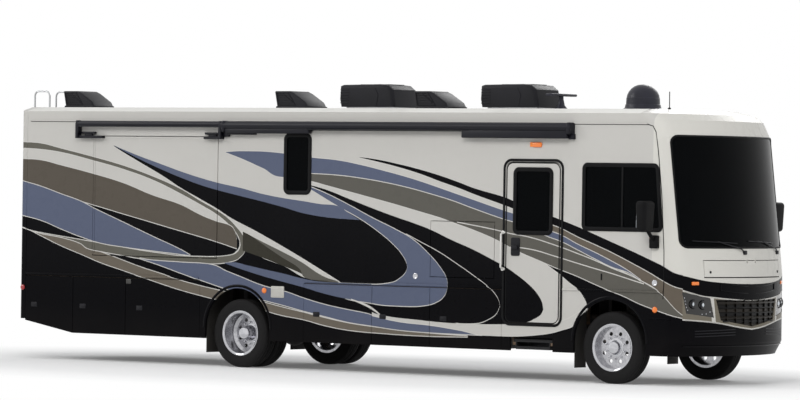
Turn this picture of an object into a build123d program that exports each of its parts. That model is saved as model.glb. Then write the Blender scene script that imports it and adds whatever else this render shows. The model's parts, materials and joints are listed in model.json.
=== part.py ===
from build123d import *
import math
import os

# Class A motorhome in millimetres. +X is forward, +Y is the driver's left and
# +Z is up. The origin is on the ground at the middle of the overall length.

# Driving dimensions
WHEELBASE = 6147
FRONT_OVERHANG = 1360
REAR_OVERHANG = 3960
LADDER_REACH = 120
BODY_WIDTH = 2560
ROOF_EDGE_HEIGHT = 3500
SKIRT_CLEARANCE = 385
BELT_HEIGHT = 1183
TYRE_DIAMETER = 940
TYRE_WIDTH = 235
WHEEL_INSET = 60
RIM_SEAT_RADIUS = 286

# Walls and panels
WALL_T = 50
CAP_T = 40
DOOR_T = 35
LINING_T = 30
FLOOR_T = 80
ROOF_T = 70
ROOF_CROWN = 60
GLASS_T = 8
RAIL_H = 50
DOOR_GAP = 9
SLIDE_GAP = 10
SEAT = 0.3
RUN_FIT = 0.05
OVERRUN = 20

# Hinge pins of the doors, lids and hatches
HINGE_R = 5
HINGE_INSET = 6

# Places that many pieces share
HALF = BODY_WIDTH / 2
X_REAR_AXLE = (REAR_OVERHANG + LADDER_REACH - WHEELBASE - FRONT_OVERHANG) / 2
X_FRONT_AXLE = X_REAR_AXLE + WHEELBASE
X_REAR = X_REAR_AXLE - REAR_OVERHANG
X_NOSE = X_FRONT_AXLE + FRONT_OVERHANG
AXLE_Z = TYRE_DIAMETER / 2
WHEEL_Y = HALF - WHEEL_INSET - TYRE_WIDTH / 2
ROOF_TOP = ROOF_EDGE_HEIGHT + ROOF_CROWN
RISE = ROOF_EDGE_HEIGHT - SKIRT_CLEARANCE
FLOOR_TOP = BELT_HEIGHT
FLOOR_BOTTOM = FLOOR_TOP - FLOOR_T
WALL_BOTTOM = BELT_HEIGHT + RAIL_H
DOOR_INNER_Y = HALF - DOOR_T
LINING_Y = DOOR_INNER_Y - DOOR_GAP
INNER_Y = HALF - WALL_T


def ahead(share):
    """Place ahead of the rear axle, as a share of the wheelbase."""
    return X_REAR_AXLE + share * WHEELBASE


def behind(share):
    """Place behind the rear axle, as a share of the rear overhang."""
    return X_REAR_AXLE - share * REAR_OVERHANG


def up(share):
    """Height as a share of the way from the belt to the roof's edge."""
    return BELT_HEIGHT + share * (ROOF_EDGE_HEIGHT - BELT_HEIGHT)


def on_front(y_share, z_share):
    """Point of an outline on the front: shares of the half width and of the body's rise."""
    return (y_share * HALF, SKIRT_CLEARANCE + z_share * RISE)


def block(x0, x1, y0, y1, z0, z1):
    """Box between two corners."""
    place = Pos((x0 + x1) / 2, (y0 + y1) / 2, (z0 + z1) / 2)
    return place * Box(x1 - x0, y1 - y0, z1 - z0)


def side_prism(points, y0, y1):
    """Outline in the XZ plane, extruded from y0 to y1."""
    face = make_face(Polyline([Vector(x, y0, z) for x, z in points], close=True))
    return extrude(face, amount=y1 - y0, dir=(0, 1, 0))


def cross_prism(points, x0, x1):
    """Outline in the YZ plane, extruded from x0 to x1."""
    face = make_face(Polyline([Vector(x0, y, z) for y, z in points], close=True))
    return extrude(face, amount=x1 - x0, dir=(1, 0, 0))


def rod(start, end, radius):
    """Round bar between two points."""
    axis = Vector(*end) - Vector(*start)
    plane = Plane(origin=start, z_dir=axis)
    return plane * Cylinder(radius, axis.length, align=(Align.CENTER, Align.CENTER, Align.MIN))


def tube(points, radius, bend):
    """Round bar along straight runs joined by bends."""
    path = FilletPolyline(*points, radius=bend)
    section = Plane(origin=points[0], z_dir=Vector(*points[1]) - Vector(*points[0])) * Circle(radius)
    return sweep(section, path=path)


def cross_rod(x, z, y0, y1, radius):
    """Round bar along Y."""
    return rod((x, y0, z), (x, y1, z), radius)


def rounded_window(x0, x1, y0, y1, z0, z1, radius):
    """Block with its four edges along Y rounded."""
    body = block(x0, x1, y0, y1, z0, z1)
    return fillet(body.edges().filter_by(Axis.Y), radius)


def mirrored(shape):
    """The same piece on the other side of the vehicle."""
    return mirror(shape, about=Plane.XZ)


def join(pieces):
    """Fuse a list of pieces."""
    return pieces[0].fuse(*pieces[1:]) if len(pieces) > 1 else pieces[0]


def group(pieces):
    """Pieces that stay separate solids in one node."""
    solids = []
    for piece in pieces:
        solids.extend(piece.solids())
    return Compound(solids)


def save(shape, name):
    """Write one node."""
    export_step(shape, f"parts/{name}.step")


# Front cap and the roof's crown

FRONT_ARC_R = 2600
CORNER_R = 262
CROWN_HALF_SHARE = 0.82
CAP_REACH = 1250

# Rows: height between skirt and roof edge, set-back of the nose within the front overhang
CAP_SHARES = [
    (0.0, 0.0735),
    (0.056, 0.0),
    (0.335, 0.0022),
    (0.4504, 0.0324),
    (0.907, 0.1618),
    (0.974, 0.2426),
    (1.0, 0.3309),
]
CAP_TOP_SETBACK_SHARE = 0.5147


def cap_section(z, nose, half, back):
    """Plan outline of the front: side lines, corner arcs and a wide nose arc."""
    centre = nose - FRONT_ARC_R
    yc = half - CORNER_R
    xc = centre + math.sqrt((FRONT_ARC_R - CORNER_R) ** 2 - yc**2)
    turn = math.atan2(yc, xc - centre)
    tangent_x = centre + FRONT_ARC_R * math.cos(turn)
    tangent_y = FRONT_ARC_R * math.sin(turn)
    middle = (turn + math.pi / 2) / 2
    mid_x = xc + CORNER_R * math.cos(middle)
    mid_y = yc + CORNER_R * math.sin(middle)
    wire = Wire([
        Edge.make_line((back, -half, z), (xc, -half, z)),
        Edge.make_three_point_arc((xc, -half, z), (mid_x, -mid_y, z), (tangent_x, -tangent_y, z)),
        Edge.make_three_point_arc((tangent_x, -tangent_y, z), (nose, 0, z), (tangent_x, tangent_y, z)),
        Edge.make_three_point_arc((tangent_x, tangent_y, z), (mid_x, mid_y, z), (xc, half, z)),
        Edge.make_line((xc, half, z), (back, half, z)),
        Edge.make_line((back, half, z), (back, -half, z)),
    ])
    return Face(wire)


def cap_solid(inset):
    """Solid front, drawn in by an inset all round but at the back."""
    back = X_FRONT_AXLE + FRONT_OVERHANG - CAP_REACH
    sections = []
    for height_share, setback_share in CAP_SHARES:
        z = SKIRT_CLEARANCE + height_share * RISE
        if height_share in (0.0, 1.0):
            z -= inset
        nose = X_NOSE - setback_share * FRONT_OVERHANG - inset
        sections.append(cap_section(z, nose, HALF - inset, back))
    crown_half = HALF * CROWN_HALF_SHARE
    crown_nose = X_NOSE - CAP_TOP_SETBACK_SHARE * FRONT_OVERHANG - inset
    sections.append(cap_section(ROOF_TOP - inset, crown_nose, crown_half, back))
    return Solid.make_loft([face.outer_wire() for face in sections], ruled=True)


CAP_OUTER = cap_solid(0)
CAP_INNER = cap_solid(CAP_T)

# Seam between the side walls and the front cap
# Rows: set-back behind the nose within the front overhang, height between skirt and roof edge
SEAM_SHARES = [
    (0.5787, 0.0),
    (0.5787, 0.133),
    (0.3978, 0.133),
    (0.3949, 0.40),
    (0.4272, 0.655),
    (0.4868, 0.835),
    (0.5404, 0.925),
    (0.6618, 0.974),
    (0.6912, 1.0),
    (0.6912, 1.05),
]
SEAM = [(X_NOSE - back * FRONT_OVERHANG, SKIRT_CLEARANCE + height * RISE) for back, height in SEAM_SHARES]
AHEAD_OF_SEAM = side_prism(
    SEAM + [(X_NOSE + OVERRUN, SEAM[-1][1]), (X_NOSE + OVERRUN, SKIRT_CLEARANCE - OVERRUN),
            (SEAM[0][0], SKIRT_CLEARANCE - OVERRUN)],
    -HALF - OVERRUN, HALF + OVERRUN)

# Windshield, hood, grille and headlamp outlines, looking at the front
WINDSHIELD_HALF = HALF * 0.9297
WINDSHIELD_BOTTOM = up(0.262)
WINDSHIELD_TOP = up(0.8753)
WINDSHIELD_R = 90
HOOD_HALF = HALF * 0.7031
HOOD_BOTTOM = up(0.0915)
HOOD_TOP = up(0.1908)
HOOD_T = 12
HOOD_LOW_GAP = 14
GRILLE_SHARES = [(-0.5563, 0.2344), (0.5563, 0.2344), (0.4906, 0.1493), (0.0, 0.122), (-0.4906, 0.1493)]
HEADLAMP_SHARES = [(0.6219, 0.2408), (0.5742, 0.1608), (0.8984, 0.1779), (0.9359, 0.2661)]
BUMPER_SHARES = [(-1.02, 0.1528), (-0.6063, 0.1422), (0.0, 0.1117), (0.6063, 0.1422), (1.02, 0.1528),
                 (1.02, -0.01), (-1.02, -0.01)]
FRONT_CUT = X_FRONT_AXLE + CORNER_R

GRILLE_OUTLINE = [on_front(y, z) for y, z in GRILLE_SHARES]
HEADLAMP_OUTLINE = [on_front(y, z) for y, z in HEADLAMP_SHARES]
BUMPER_OUTLINE = [on_front(y, z) for y, z in BUMPER_SHARES]
GRILLE_TOP = GRILLE_OUTLINE[0][1]
GRILLE_APEX = GRILLE_OUTLINE[3][1]
GRILLE_TOP_HALF = GRILLE_OUTLINE[1][0]


def windshield_prism(inset):
    """Rounded opening of the windshield, cut straight back from the front."""
    body = block(FRONT_CUT, X_NOSE + OVERRUN, -WINDSHIELD_HALF + inset, WINDSHIELD_HALF - inset,
                 WINDSHIELD_BOTTOM + inset, WINDSHIELD_TOP - inset)
    return fillet(body.edges().filter_by(Axis.X), WINDSHIELD_R - inset)


def hood_prism(side_gap, low_gap):
    """Opening of the service hood, or the hood in it with its gaps."""
    return block(FRONT_CUT, X_NOSE + OVERRUN, -HOOD_HALF + side_gap, HOOD_HALF - side_gap,
                 HOOD_BOTTOM + low_gap, HOOD_TOP - side_gap)


def shrink(points, amount):
    """Move an outline's points towards its middle by about one amount."""
    mid_y = sum(point[0] for point in points) / len(points)
    mid_z = sum(point[1] for point in points) / len(points)
    moved = []
    for y, z in points:
        reach = math.hypot(y - mid_y, z - mid_z)
        share = 1 - amount / reach
        moved.append((mid_y + (y - mid_y) * share, mid_z + (z - mid_z) * share))
    return moved


def front_cap():
    """Upper front shell with its openings."""
    shell = (CAP_OUTER - CAP_INNER) & AHEAD_OF_SEAM
    shell -= cross_prism(BUMPER_OUTLINE, X_FRONT_AXLE, X_NOSE + OVERRUN)
    shell -= windshield_prism(0)
    shell -= hood_prism(0, 0)
    shell -= cross_prism(GRILLE_OUTLINE, FRONT_CUT, X_NOSE + OVERRUN)
    lamp = cross_prism(HEADLAMP_OUTLINE, FRONT_CUT, X_NOSE + OVERRUN)
    shell -= lamp
    shell -= mirrored(lamp)
    return shell + hood_lug(-1) + hood_lug(1)


def front_bumper():
    """Lower front shell, wrapped round to the wheel arches."""
    shell = (CAP_OUTER - CAP_INNER) & AHEAD_OF_SEAM
    return shell & cross_prism(BUMPER_OUTLINE, X_FRONT_AXLE, X_NOSE + OVERRUN)


GLASS_SINK = 4


def windshield():
    """Curved glass just behind the shell's outer face."""
    outer = cap_solid(GLASS_SINK)
    inner = cap_solid(GLASS_SINK + GLASS_T)
    return (outer - inner) & windshield_prism(SEAT)


GRILLE_SINK = 22
GRILLE_T = 14
GRILLE_BAR_T = 10
GRILLE_BAR_SHARES = [0.14, 0.32, 0.50, 0.68]
GRILLE_WEB_SHARES = [-0.72, -0.48, -0.24, 0.0, 0.24, 0.48, 0.72]


def grille():
    """Plate behind the grille opening, with bars and webs in front of it."""
    zone = cross_prism(shrink(GRILLE_OUTLINE, SEAT), FRONT_CUT, X_NOSE + OVERRUN)
    plate = (cap_solid(GRILLE_SINK) - cap_solid(GRILLE_SINK + GRILLE_T)) & zone
    layer = (cap_solid(GLASS_SINK) - cap_solid(GRILLE_SINK)) & zone
    bars = []
    depth = GRILLE_TOP - GRILLE_APEX
    for share in GRILLE_BAR_SHARES:
        z = GRILLE_TOP - share * depth
        bars.append(block(FRONT_CUT, X_NOSE + OVERRUN, -HALF, HALF, z, z + GRILLE_BAR_T))
    for share in GRILLE_WEB_SHARES:
        y = share * GRILLE_TOP_HALF
        bars.append(block(FRONT_CUT, X_NOSE + OVERRUN, y, y + GRILLE_BAR_T, GRILLE_APEX, GRILLE_TOP))
    return plate + (layer & join(bars))


# Hood and its hinge lugs
HOOD_HINGE_Z = HOOD_TOP - DOOR_GAP - HINGE_INSET
LUG_Y = 100
LUG_T = 8
LUG_GAP = 8
LUG_BACK = 34


def nose_x(z, y, inset):
    """Front surface of the shell at a height and a place across, near the middle."""
    height = (z - SKIRT_CLEARANCE) / RISE
    setback = 0
    for (low, low_back), (high, high_back) in zip(CAP_SHARES, CAP_SHARES[1:]):
        if low <= height <= high:
            setback = low_back + (height - low) / (high - low) * (high_back - low_back)
    nose = X_NOSE - setback * FRONT_OVERHANG - inset
    return nose - FRONT_ARC_R + math.sqrt(FRONT_ARC_R**2 - y**2)


HOOD_HINGE_X = nose_x(HOOD_HINGE_Z, LUG_Y, 0) - HINGE_INSET


def hood_lug(side):
    """Lug that comes down from the shell to one hinge pin of the hood."""
    y = side * LUG_Y
    plate = block(HOOD_HINGE_X - LUG_BACK, HOOD_HINGE_X + HINGE_R, y - LUG_T / 2, y + LUG_T / 2,
                  HOOD_HINGE_Z - HINGE_R - DOOR_GAP / 3, HOOD_TOP + OVERRUN)
    hole = cross_rod(HOOD_HINGE_X, HOOD_HINGE_Z, y - LUG_T, y + LUG_T, HINGE_R - DOOR_GAP / 3 + RUN_FIT)
    return plate - hole


def hood():
    """Service hood under the windshield, notched for its two hinge lugs."""
    panel = (CAP_OUTER - cap_solid(HOOD_T)) & hood_prism(DOOR_GAP, HOOD_LOW_GAP)
    half = LUG_T / 2 + LUG_GAP
    for side in (-1, 1):
        y = side * LUG_Y
        panel -= block(HOOD_HINGE_X - LUG_BACK - OVERRUN, X_NOSE, y - half, y + half,
                       HOOD_HINGE_Z - HINGE_R - 2 * DOOR_GAP, HOOD_TOP)
        panel += cross_rod(HOOD_HINGE_X, HOOD_HINGE_Z, y - half, y + half, HINGE_R - DOOR_GAP / 3)
    return panel


# Headlamps, tail lamps and clearance lamps
LAMP_SINK = 8
LAMP_T = 30
TAIL_LAMP_W = 110
TAIL_LAMP_H = 320
TAIL_LAMP_DROP = 133
TAIL_LAMP_INSET = 170
TAIL_LAMP_T = 12
CLEARANCE_LAMP_L = 60
CLEARANCE_LAMP_H = 22
CLEARANCE_LAMP_DROP = 105
CLEARANCE_LAMP_SHARES = [-0.78, -0.11, 0.0, 0.11, 0.78]
PORCH_LAMP_L = 110
PORCH_LAMP_H = 60
PORCH_LAMP_Z = up(0.8209)
TAIL_LAMP_Z = BELT_HEIGHT - TAIL_LAMP_DROP
CLEARANCE_LAMP_Z = ROOF_EDGE_HEIGHT - CLEARANCE_LAMP_DROP


def lamps():
    """All the lamps that the body carries."""
    shell = cap_solid(LAMP_SINK) - cap_solid(LAMP_SINK + LAMP_T)
    head = shell & cross_prism(shrink(HEADLAMP_OUTLINE, SEAT), FRONT_CUT, X_NOSE + OVERRUN)
    pieces = [head, mirrored(head)]
    for side in (-1, 1):
        y = side * (HALF - TAIL_LAMP_INSET)
        pieces.append(block(X_REAR - TAIL_LAMP_T, X_REAR, y - TAIL_LAMP_W / 2, y + TAIL_LAMP_W / 2,
                            TAIL_LAMP_Z - TAIL_LAMP_H / 2, TAIL_LAMP_Z + TAIL_LAMP_H / 2))
    for share in CLEARANCE_LAMP_SHARES:
        y = share * HALF
        pieces.append(block(X_REAR - TAIL_LAMP_T, X_REAR, y - CLEARANCE_LAMP_L / 2, y + CLEARANCE_LAMP_L / 2,
                            CLEARANCE_LAMP_Z, CLEARANCE_LAMP_Z + CLEARANCE_LAMP_H))
    porch_x = ENTRY_REAR_X + ENTRY_W / 2
    pieces.append(block(porch_x - PORCH_LAMP_L / 2, porch_x + PORCH_LAMP_L / 2, -HALF - TAIL_LAMP_T, -HALF,
                        PORCH_LAMP_Z - PORCH_LAMP_H / 2, PORCH_LAMP_Z + PORCH_LAMP_H / 2))
    return group(pieces)


# Entry door
ENTRY_SHARE = 0.7283
ENTRY_REAR_X = ahead(ENTRY_SHARE)
ENTRY_W = 876
ENTRY_DROP = 442
ENTRY_BOTTOM = BELT_HEIGHT - ENTRY_DROP
ENTRY_TOP = up(0.7238)
ENTRY_R = 90
ENTRY_GLASS_SIDE = 139
ENTRY_GLASS_BOTTOM = up(0.3189)
ENTRY_GLASS_TOP = up(0.6845)
ENTRY_GLASS_R = 70
ENTRY_FRONT_X = ENTRY_REAR_X + ENTRY_W

# Slide-outs
SLIDE_RIGHT_REAR_SHARE = 0.6616
SLIDE_RIGHT_L = 2248
SLIDE_RIGHT_BOTTOM = up(0.1282)
SLIDE_TOP = up(0.8533)
SLIDE_RIGHT_TRAVEL = 560
SLIDE_OVERLAP = 80
SLIDE_RIGHT_DEPTH = SLIDE_RIGHT_TRAVEL + SLIDE_OVERLAP
SLIDE_LEFT_REAR_SHARE = 0.06
SLIDE_LEFT_L = 4300
SLIDE_LEFT_BOTTOM = up(0.0462)
SLIDE_LEFT_TRAVEL = 720
SLIDE_LEFT_DEPTH = SLIDE_LEFT_TRAVEL + SLIDE_OVERLAP
SLIDE_WALL_T = 45
SLIDE_R_X0 = behind(SLIDE_RIGHT_REAR_SHARE)
SLIDE_R_X1 = SLIDE_R_X0 + SLIDE_RIGHT_L
SLIDE_L_X0 = ahead(SLIDE_LEFT_REAR_SHARE)
SLIDE_L_X1 = SLIDE_L_X0 + SLIDE_LEFT_L
RUNNER_W = 60
RUNNER_IN_SHARE = 0.12
SLIDE_WINDOW_SHARES = [(0.08, 0.36), (0.58, 0.90)]
SLIDE_WINDOW_BOTTOM = up(0.331)
SLIDE_WINDOW_TOP = up(0.6547)

# Windows in the side walls
MID_WINDOW_SHARE = 0.1287
MID_WINDOW_L = 436
MID_WINDOW_BOTTOM = up(0.5244)
MID_WINDOW_TOP = up(0.8675)
MID_WINDOW_R = 75
CAB_WINDOW_SHARE = 0.9287
CAB_WINDOW_L = 1226
CAB_WINDOW_BOTTOM = up(0.3492)
CAB_WINDOW_TOP = up(0.7143)
CAB_WINDOW_LEAN = 75
CAB_WINDOW_R = 60
BED_WINDOW_SHARE = 0.62
BED_WINDOW_L = 760
BED_WINDOW_BOTTOM = up(0.4605)

# Outside screen hatch
HATCH_SHARE = 0.5298
HATCH_L = 1050
HATCH_BOTTOM = up(0.0574)
HATCH_TOP = up(0.3811)
HATCH_BOX_DEPTH = 140

MID_X0 = ahead(MID_WINDOW_SHARE)
CAB_X0 = ahead(CAB_WINDOW_SHARE)
BED_X0 = behind(BED_WINDOW_SHARE)
HATCH_X0 = ahead(HATCH_SHARE)
HATCH_X1 = HATCH_X0 + HATCH_L


def cab_window_prism(inset, y0, y1):
    """Opening of the cab's side window; its front edge leans back with the seam."""
    x1 = CAB_X0 + CAB_WINDOW_L
    body = side_prism([
        (CAB_X0 + inset, CAB_WINDOW_BOTTOM + inset), (x1 - inset, CAB_WINDOW_BOTTOM + inset),
        (x1 - CAB_WINDOW_LEAN - inset, CAB_WINDOW_TOP - inset), (CAB_X0 + inset, CAB_WINDOW_TOP - inset),
    ], y0, y1)
    return fillet(body.edges().filter_by(Axis.Y), CAB_WINDOW_R - inset)


def mid_window_prism(inset, y0, y1):
    """Tall narrow window of the right wall."""
    return rounded_window(MID_X0 + inset, MID_X0 + MID_WINDOW_L - inset, y0, y1,
                          MID_WINDOW_BOTTOM + inset, MID_WINDOW_TOP - inset, MID_WINDOW_R - inset)


def bed_window_prism(inset, y0, y1):
    """Bedroom window of the left wall."""
    return rounded_window(BED_X0 + inset, BED_X0 + BED_WINDOW_L - inset, y0, y1,
                          BED_WINDOW_BOTTOM + inset, CAB_WINDOW_TOP - inset, MID_WINDOW_R - inset)


def entry_prism(inset, y0, y1, corner_r):
    """Doorway, or the panel that fills it, with rounded top corners."""
    body = block(ENTRY_REAR_X + inset, ENTRY_FRONT_X - inset, y0, y1, ENTRY_BOTTOM + inset, ENTRY_TOP - inset)
    top = body.edges().filter_by(Axis.Y).group_by(Axis.Z)[-1]
    return fillet(top, corner_r)


# Walls and roof
REAR_WRAP = 110


def wall_blank():
    """Wall slab on the right, from the rear cap to the front seam."""
    front = CAP_OUTER.bounding_box().max.X
    slab = block(X_REAR + REAR_WRAP, front, -HALF, -INNER_Y, WALL_BOTTOM, ROOF_EDGE_HEIGHT)
    return slab - AHEAD_OF_SEAM


def wall_right():
    """Right side wall with slide, window, doorway and hatch openings."""
    wall = wall_blank()
    outside = -HALF - OVERRUN
    inside = -INNER_Y + OVERRUN
    wall -= block(SLIDE_R_X0, SLIDE_R_X1, outside, inside, SLIDE_RIGHT_BOTTOM, SLIDE_TOP)
    wall -= mid_window_prism(0, outside, inside)
    wall -= cab_window_prism(0, outside, inside)
    wall -= entry_prism(0, outside, inside, ENTRY_R)
    wall -= block(HATCH_X0, HATCH_X1, outside, inside, HATCH_BOTTOM, HATCH_TOP)
    tray_out = -INNER_Y
    tray_in = -INNER_Y + HATCH_BOX_DEPTH
    tray = block(HATCH_X0 - LINING_T, HATCH_X1 + LINING_T, tray_out, tray_in,
                 HATCH_BOTTOM - LINING_T, HATCH_TOP + LINING_T)
    tray -= block(HATCH_X0, HATCH_X1, outside, tray_in - LINING_T, HATCH_BOTTOM, HATCH_TOP)
    return wall + tray


def wall_left():
    """Left side wall with slide and window openings."""
    wall = mirrored(wall_blank())
    outside = HALF + OVERRUN
    inside = INNER_Y - OVERRUN
    wall -= block(SLIDE_L_X0, SLIDE_L_X1, inside, outside, SLIDE_LEFT_BOTTOM, SLIDE_TOP)
    wall -= cab_window_prism(0, inside, outside)
    wall -= bed_window_prism(0, inside, outside)
    return wall


def roof():
    """Crowned roof slab between the walls' tops and the caps."""
    crown_half = HALF * CROWN_HALF_SHARE
    under = ROOF_TOP - ROOF_T
    outline = [
        (-HALF, ROOF_EDGE_HEIGHT), (-crown_half, ROOF_TOP), (crown_half, ROOF_TOP), (HALF, ROOF_EDGE_HEIGHT),
        (INNER_Y, ROOF_EDGE_HEIGHT), (INNER_Y, under), (-INNER_Y, under), (-INNER_Y, ROOF_EDGE_HEIGHT),
    ]
    rear = X_REAR + REAR_WRAP
    return cross_prism(outline, rear, SEAM[-1][0])


REAR_CORNER_R = 60
REAR_SWEEP = 179
REAR_BOTTOM = SKIRT_CLEARANCE + REAR_SWEEP


def rear_cap():
    """Rear shell that wraps round the corners and over the roof's end."""
    crown_half = HALF * CROWN_HALF_SHARE
    outline = [
        (-HALF, REAR_BOTTOM), (HALF, REAR_BOTTOM), (HALF, ROOF_EDGE_HEIGHT), (crown_half, ROOF_TOP),
        (-crown_half, ROOF_TOP), (-HALF, ROOF_EDGE_HEIGHT),
    ]
    shell = cross_prism(outline, X_REAR, X_REAR + REAR_WRAP)
    corners = shell.edges().filter_by(Axis.Z).group_by(Axis.X)[0]
    shell = fillet(corners, REAR_CORNER_R)
    shell -= block(X_REAR + WALL_T, X_REAR + REAR_WRAP + OVERRUN, -LINING_Y, LINING_Y,
                   REAR_BOTTOM - OVERRUN, ROOF_TOP - ROOF_T)
    return shell


WELL_DEPTH = 600


def floor():
    """House floor, drawn in at the nose, with the entry step well."""
    rear = X_REAR + WALL_T
    main = block(rear, SEAM[2][0], -LINING_Y, LINING_Y, FLOOR_BOTTOM, FLOOR_TOP)
    nose = block(SEAM[2][0], X_NOSE, -LINING_Y, LINING_Y, FLOOR_BOTTOM, FLOOR_TOP)
    slab = main + (nose & cap_solid(CAP_T + SEAT))
    well_in = -LINING_Y + WELL_DEPTH
    slab -= block(ENTRY_REAR_X, ENTRY_FRONT_X, -HALF, well_in, FLOOR_BOTTOM - OVERRUN, FLOOR_TOP + OVERRUN)
    middle = -LINING_Y + WELL_DEPTH / 2
    tread = ENTRY_BOTTOM + (FLOOR_TOP - ENTRY_BOTTOM) / 2
    out = -LINING_Y
    steps = cross_prism([
        (out, ENTRY_BOTTOM), (out, ENTRY_BOTTOM + LINING_T), (middle, ENTRY_BOTTOM + LINING_T),
        (middle, tread), (well_in, tread), (well_in, FLOOR_TOP), (well_in + LINING_T, FLOOR_TOP),
        (well_in + LINING_T, tread - LINING_T), (middle + LINING_T, tread - LINING_T),
        (middle + LINING_T, ENTRY_BOTTOM),
    ], ENTRY_REAR_X, ENTRY_FRONT_X)
    cheek_in = well_in + LINING_T
    rear_cheek = block(ENTRY_REAR_X - LINING_T, ENTRY_REAR_X, out, cheek_in, ENTRY_BOTTOM, FLOOR_TOP)
    front_cheek = rear_cheek.moved(Location((ENTRY_W + LINING_T, 0, 0)))
    return slab + steps + rear_cheek + front_cheek + step_hangers()


# Chassis rails
RAIL_Y = 430
RAIL_W = 75
RAIL_RISE = 150
CHASSIS_RAIL_H = 220
RAIL_BOTTOM = AXLE_Z + RAIL_RISE
RAIL_TOP = RAIL_BOTTOM + CHASSIS_RAIL_H

# Lower sides
ARCH_GAP = 92
ARCH_RISE = 55
ARCH_R = TYRE_DIAMETER / 2 + ARCH_GAP
ARCH_CENTRE_Z = AXLE_Z + ARCH_RISE
SKIRT_T = 30
REAR_DOOR_FRONT_SHARE = 0.168
REAR_DOOR_MID_SHARE = 0.505
REAR_DOOR_BACK_SHARE = 0.748
LEFT_REAR_MID_SHARE = 0.57
MID_DOOR_REAR_SHARE = 0.1859
MID_DOOR_2_SHARE = 0.3742
MID_DOOR_3_SHARE = 0.5308
MID_DOOR_FRONT_SHARE = 0.7217
LEFT_MID_FRONT_SHARE = 0.47
X_CORNER = X_REAR + REAR_WRAP
SWEEP_START_X = behind(REAR_DOOR_BACK_SHARE)

# Rows: name, rear edge, front edge
RIGHT_DOORS = [
    ("storage_door_right_1", X_CORNER, behind(REAR_DOOR_BACK_SHARE)),
    ("storage_door_right_2", behind(REAR_DOOR_BACK_SHARE), behind(REAR_DOOR_MID_SHARE)),
    ("storage_door_right_3", behind(REAR_DOOR_MID_SHARE), behind(REAR_DOOR_FRONT_SHARE)),
    ("storage_door_right_4", ahead(MID_DOOR_REAR_SHARE), ahead(MID_DOOR_2_SHARE)),
    ("storage_door_right_5", ahead(MID_DOOR_2_SHARE), ahead(MID_DOOR_3_SHARE)),
    ("storage_door_right_6", ahead(MID_DOOR_3_SHARE), ahead(MID_DOOR_FRONT_SHARE)),
]
LEFT_DOORS = [
    ("storage_door_left_1", X_CORNER, behind(LEFT_REAR_MID_SHARE)),
    ("storage_door_left_2", behind(LEFT_REAR_MID_SHARE), behind(REAR_DOOR_FRONT_SHARE)),
    ("storage_door_left_3", ahead(MID_DOOR_REAR_SHARE), ahead(LEFT_MID_FRONT_SHARE)),
]


def below_sweep():
    """What lies under the skirt's rising rear edge, and is cut away."""
    slope = REAR_SWEEP / (SWEEP_START_X - X_REAR)
    drop = OVERRUN * slope
    return side_prism([
        (X_REAR - OVERRUN, REAR_BOTTOM + drop), (SWEEP_START_X, SKIRT_CLEARANCE),
        (SWEEP_START_X, SKIRT_CLEARANCE - OVERRUN), (X_REAR - OVERRUN, SKIRT_CLEARANCE - OVERRUN),
    ], -HALF - OVERRUN, HALF + OVERRUN)


def arch_cut(axle_x, y0, y1):
    """Wheel arch: a round top with straight sides under it."""
    cut = cross_rod(axle_x, ARCH_CENTRE_Z, y0, y1, ARCH_R)
    return cut + block(axle_x - ARCH_R, axle_x + ARCH_R, y0, y1, SKIRT_CLEARANCE - OVERRUN, ARCH_CENTRE_Z)


def skirt(doors, doorway):
    """Belt rail with the fixed lower panels hanging from it, on the right."""
    rail = block(X_CORNER, X_NOSE, -HALF, -HALF + 2 * WALL_T, BELT_HEIGHT, WALL_BOTTOM)
    apron = block(X_CORNER, X_NOSE, -HALF, -HALF + SKIRT_T, SKIRT_CLEARANCE, BELT_HEIGHT)
    for name, rear, front in doors:
        apron -= block(rear, front, -HALF - OVERRUN, -HALF + SKIRT_T + OVERRUN,
                       SKIRT_CLEARANCE - OVERRUN, BELT_HEIGHT)
    for axle_x in (X_REAR_AXLE, X_FRONT_AXLE):
        apron -= arch_cut(axle_x, -HALF - OVERRUN, -HALF + SKIRT_T + OVERRUN)
    side = rail + apron
    if doorway:
        side -= entry_prism(0, -HALF - OVERRUN, -HALF + 2 * WALL_T + OVERRUN, ENTRY_R)
        reach = STEP_L / 2 + STEP_LEDGE
        side -= block(STEP_MID_X - reach, STEP_MID_X + reach, -HALF - OVERRUN, -HALF + SKIRT_T + OVERRUN,
                      SKIRT_CLEARANCE - OVERRUN, STEP_NOTCH_TOP)
    return side - AHEAD_OF_SEAM


BAY_RAIL_GAP = 72
BAY_INNER_Y = RAIL_Y + RAIL_W / 2 + BAY_RAIL_GAP
BAY_RISE = 15


def storage_bays(doors):
    """Open-fronted trays behind the doors, on the right."""
    pieces = []
    runs = [(doors[0][1], [row for row in doors if row[1] < X_REAR_AXLE]),
            (ahead(MID_DOOR_REAR_SHARE), [row for row in doors if row[1] > X_REAR_AXLE])]
    for start, rows in runs:
        end = rows[-1][2]
        low = SKIRT_CLEARANCE + BAY_RISE
        shell = block(start, end, -LINING_Y, -BAY_INNER_Y, low, FLOOR_BOTTOM)
        for name, rear, front in rows:
            shell -= block(rear + LINING_T / 2, front - LINING_T / 2, -LINING_Y - OVERRUN,
                           -BAY_INNER_Y - LINING_T, low + LINING_T, FLOOR_BOTTOM + OVERRUN)
        pieces.append(shell)
    pieces[0] = raise_rear_bay(pieces[0], doors[0])
    return group(pieces)


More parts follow.
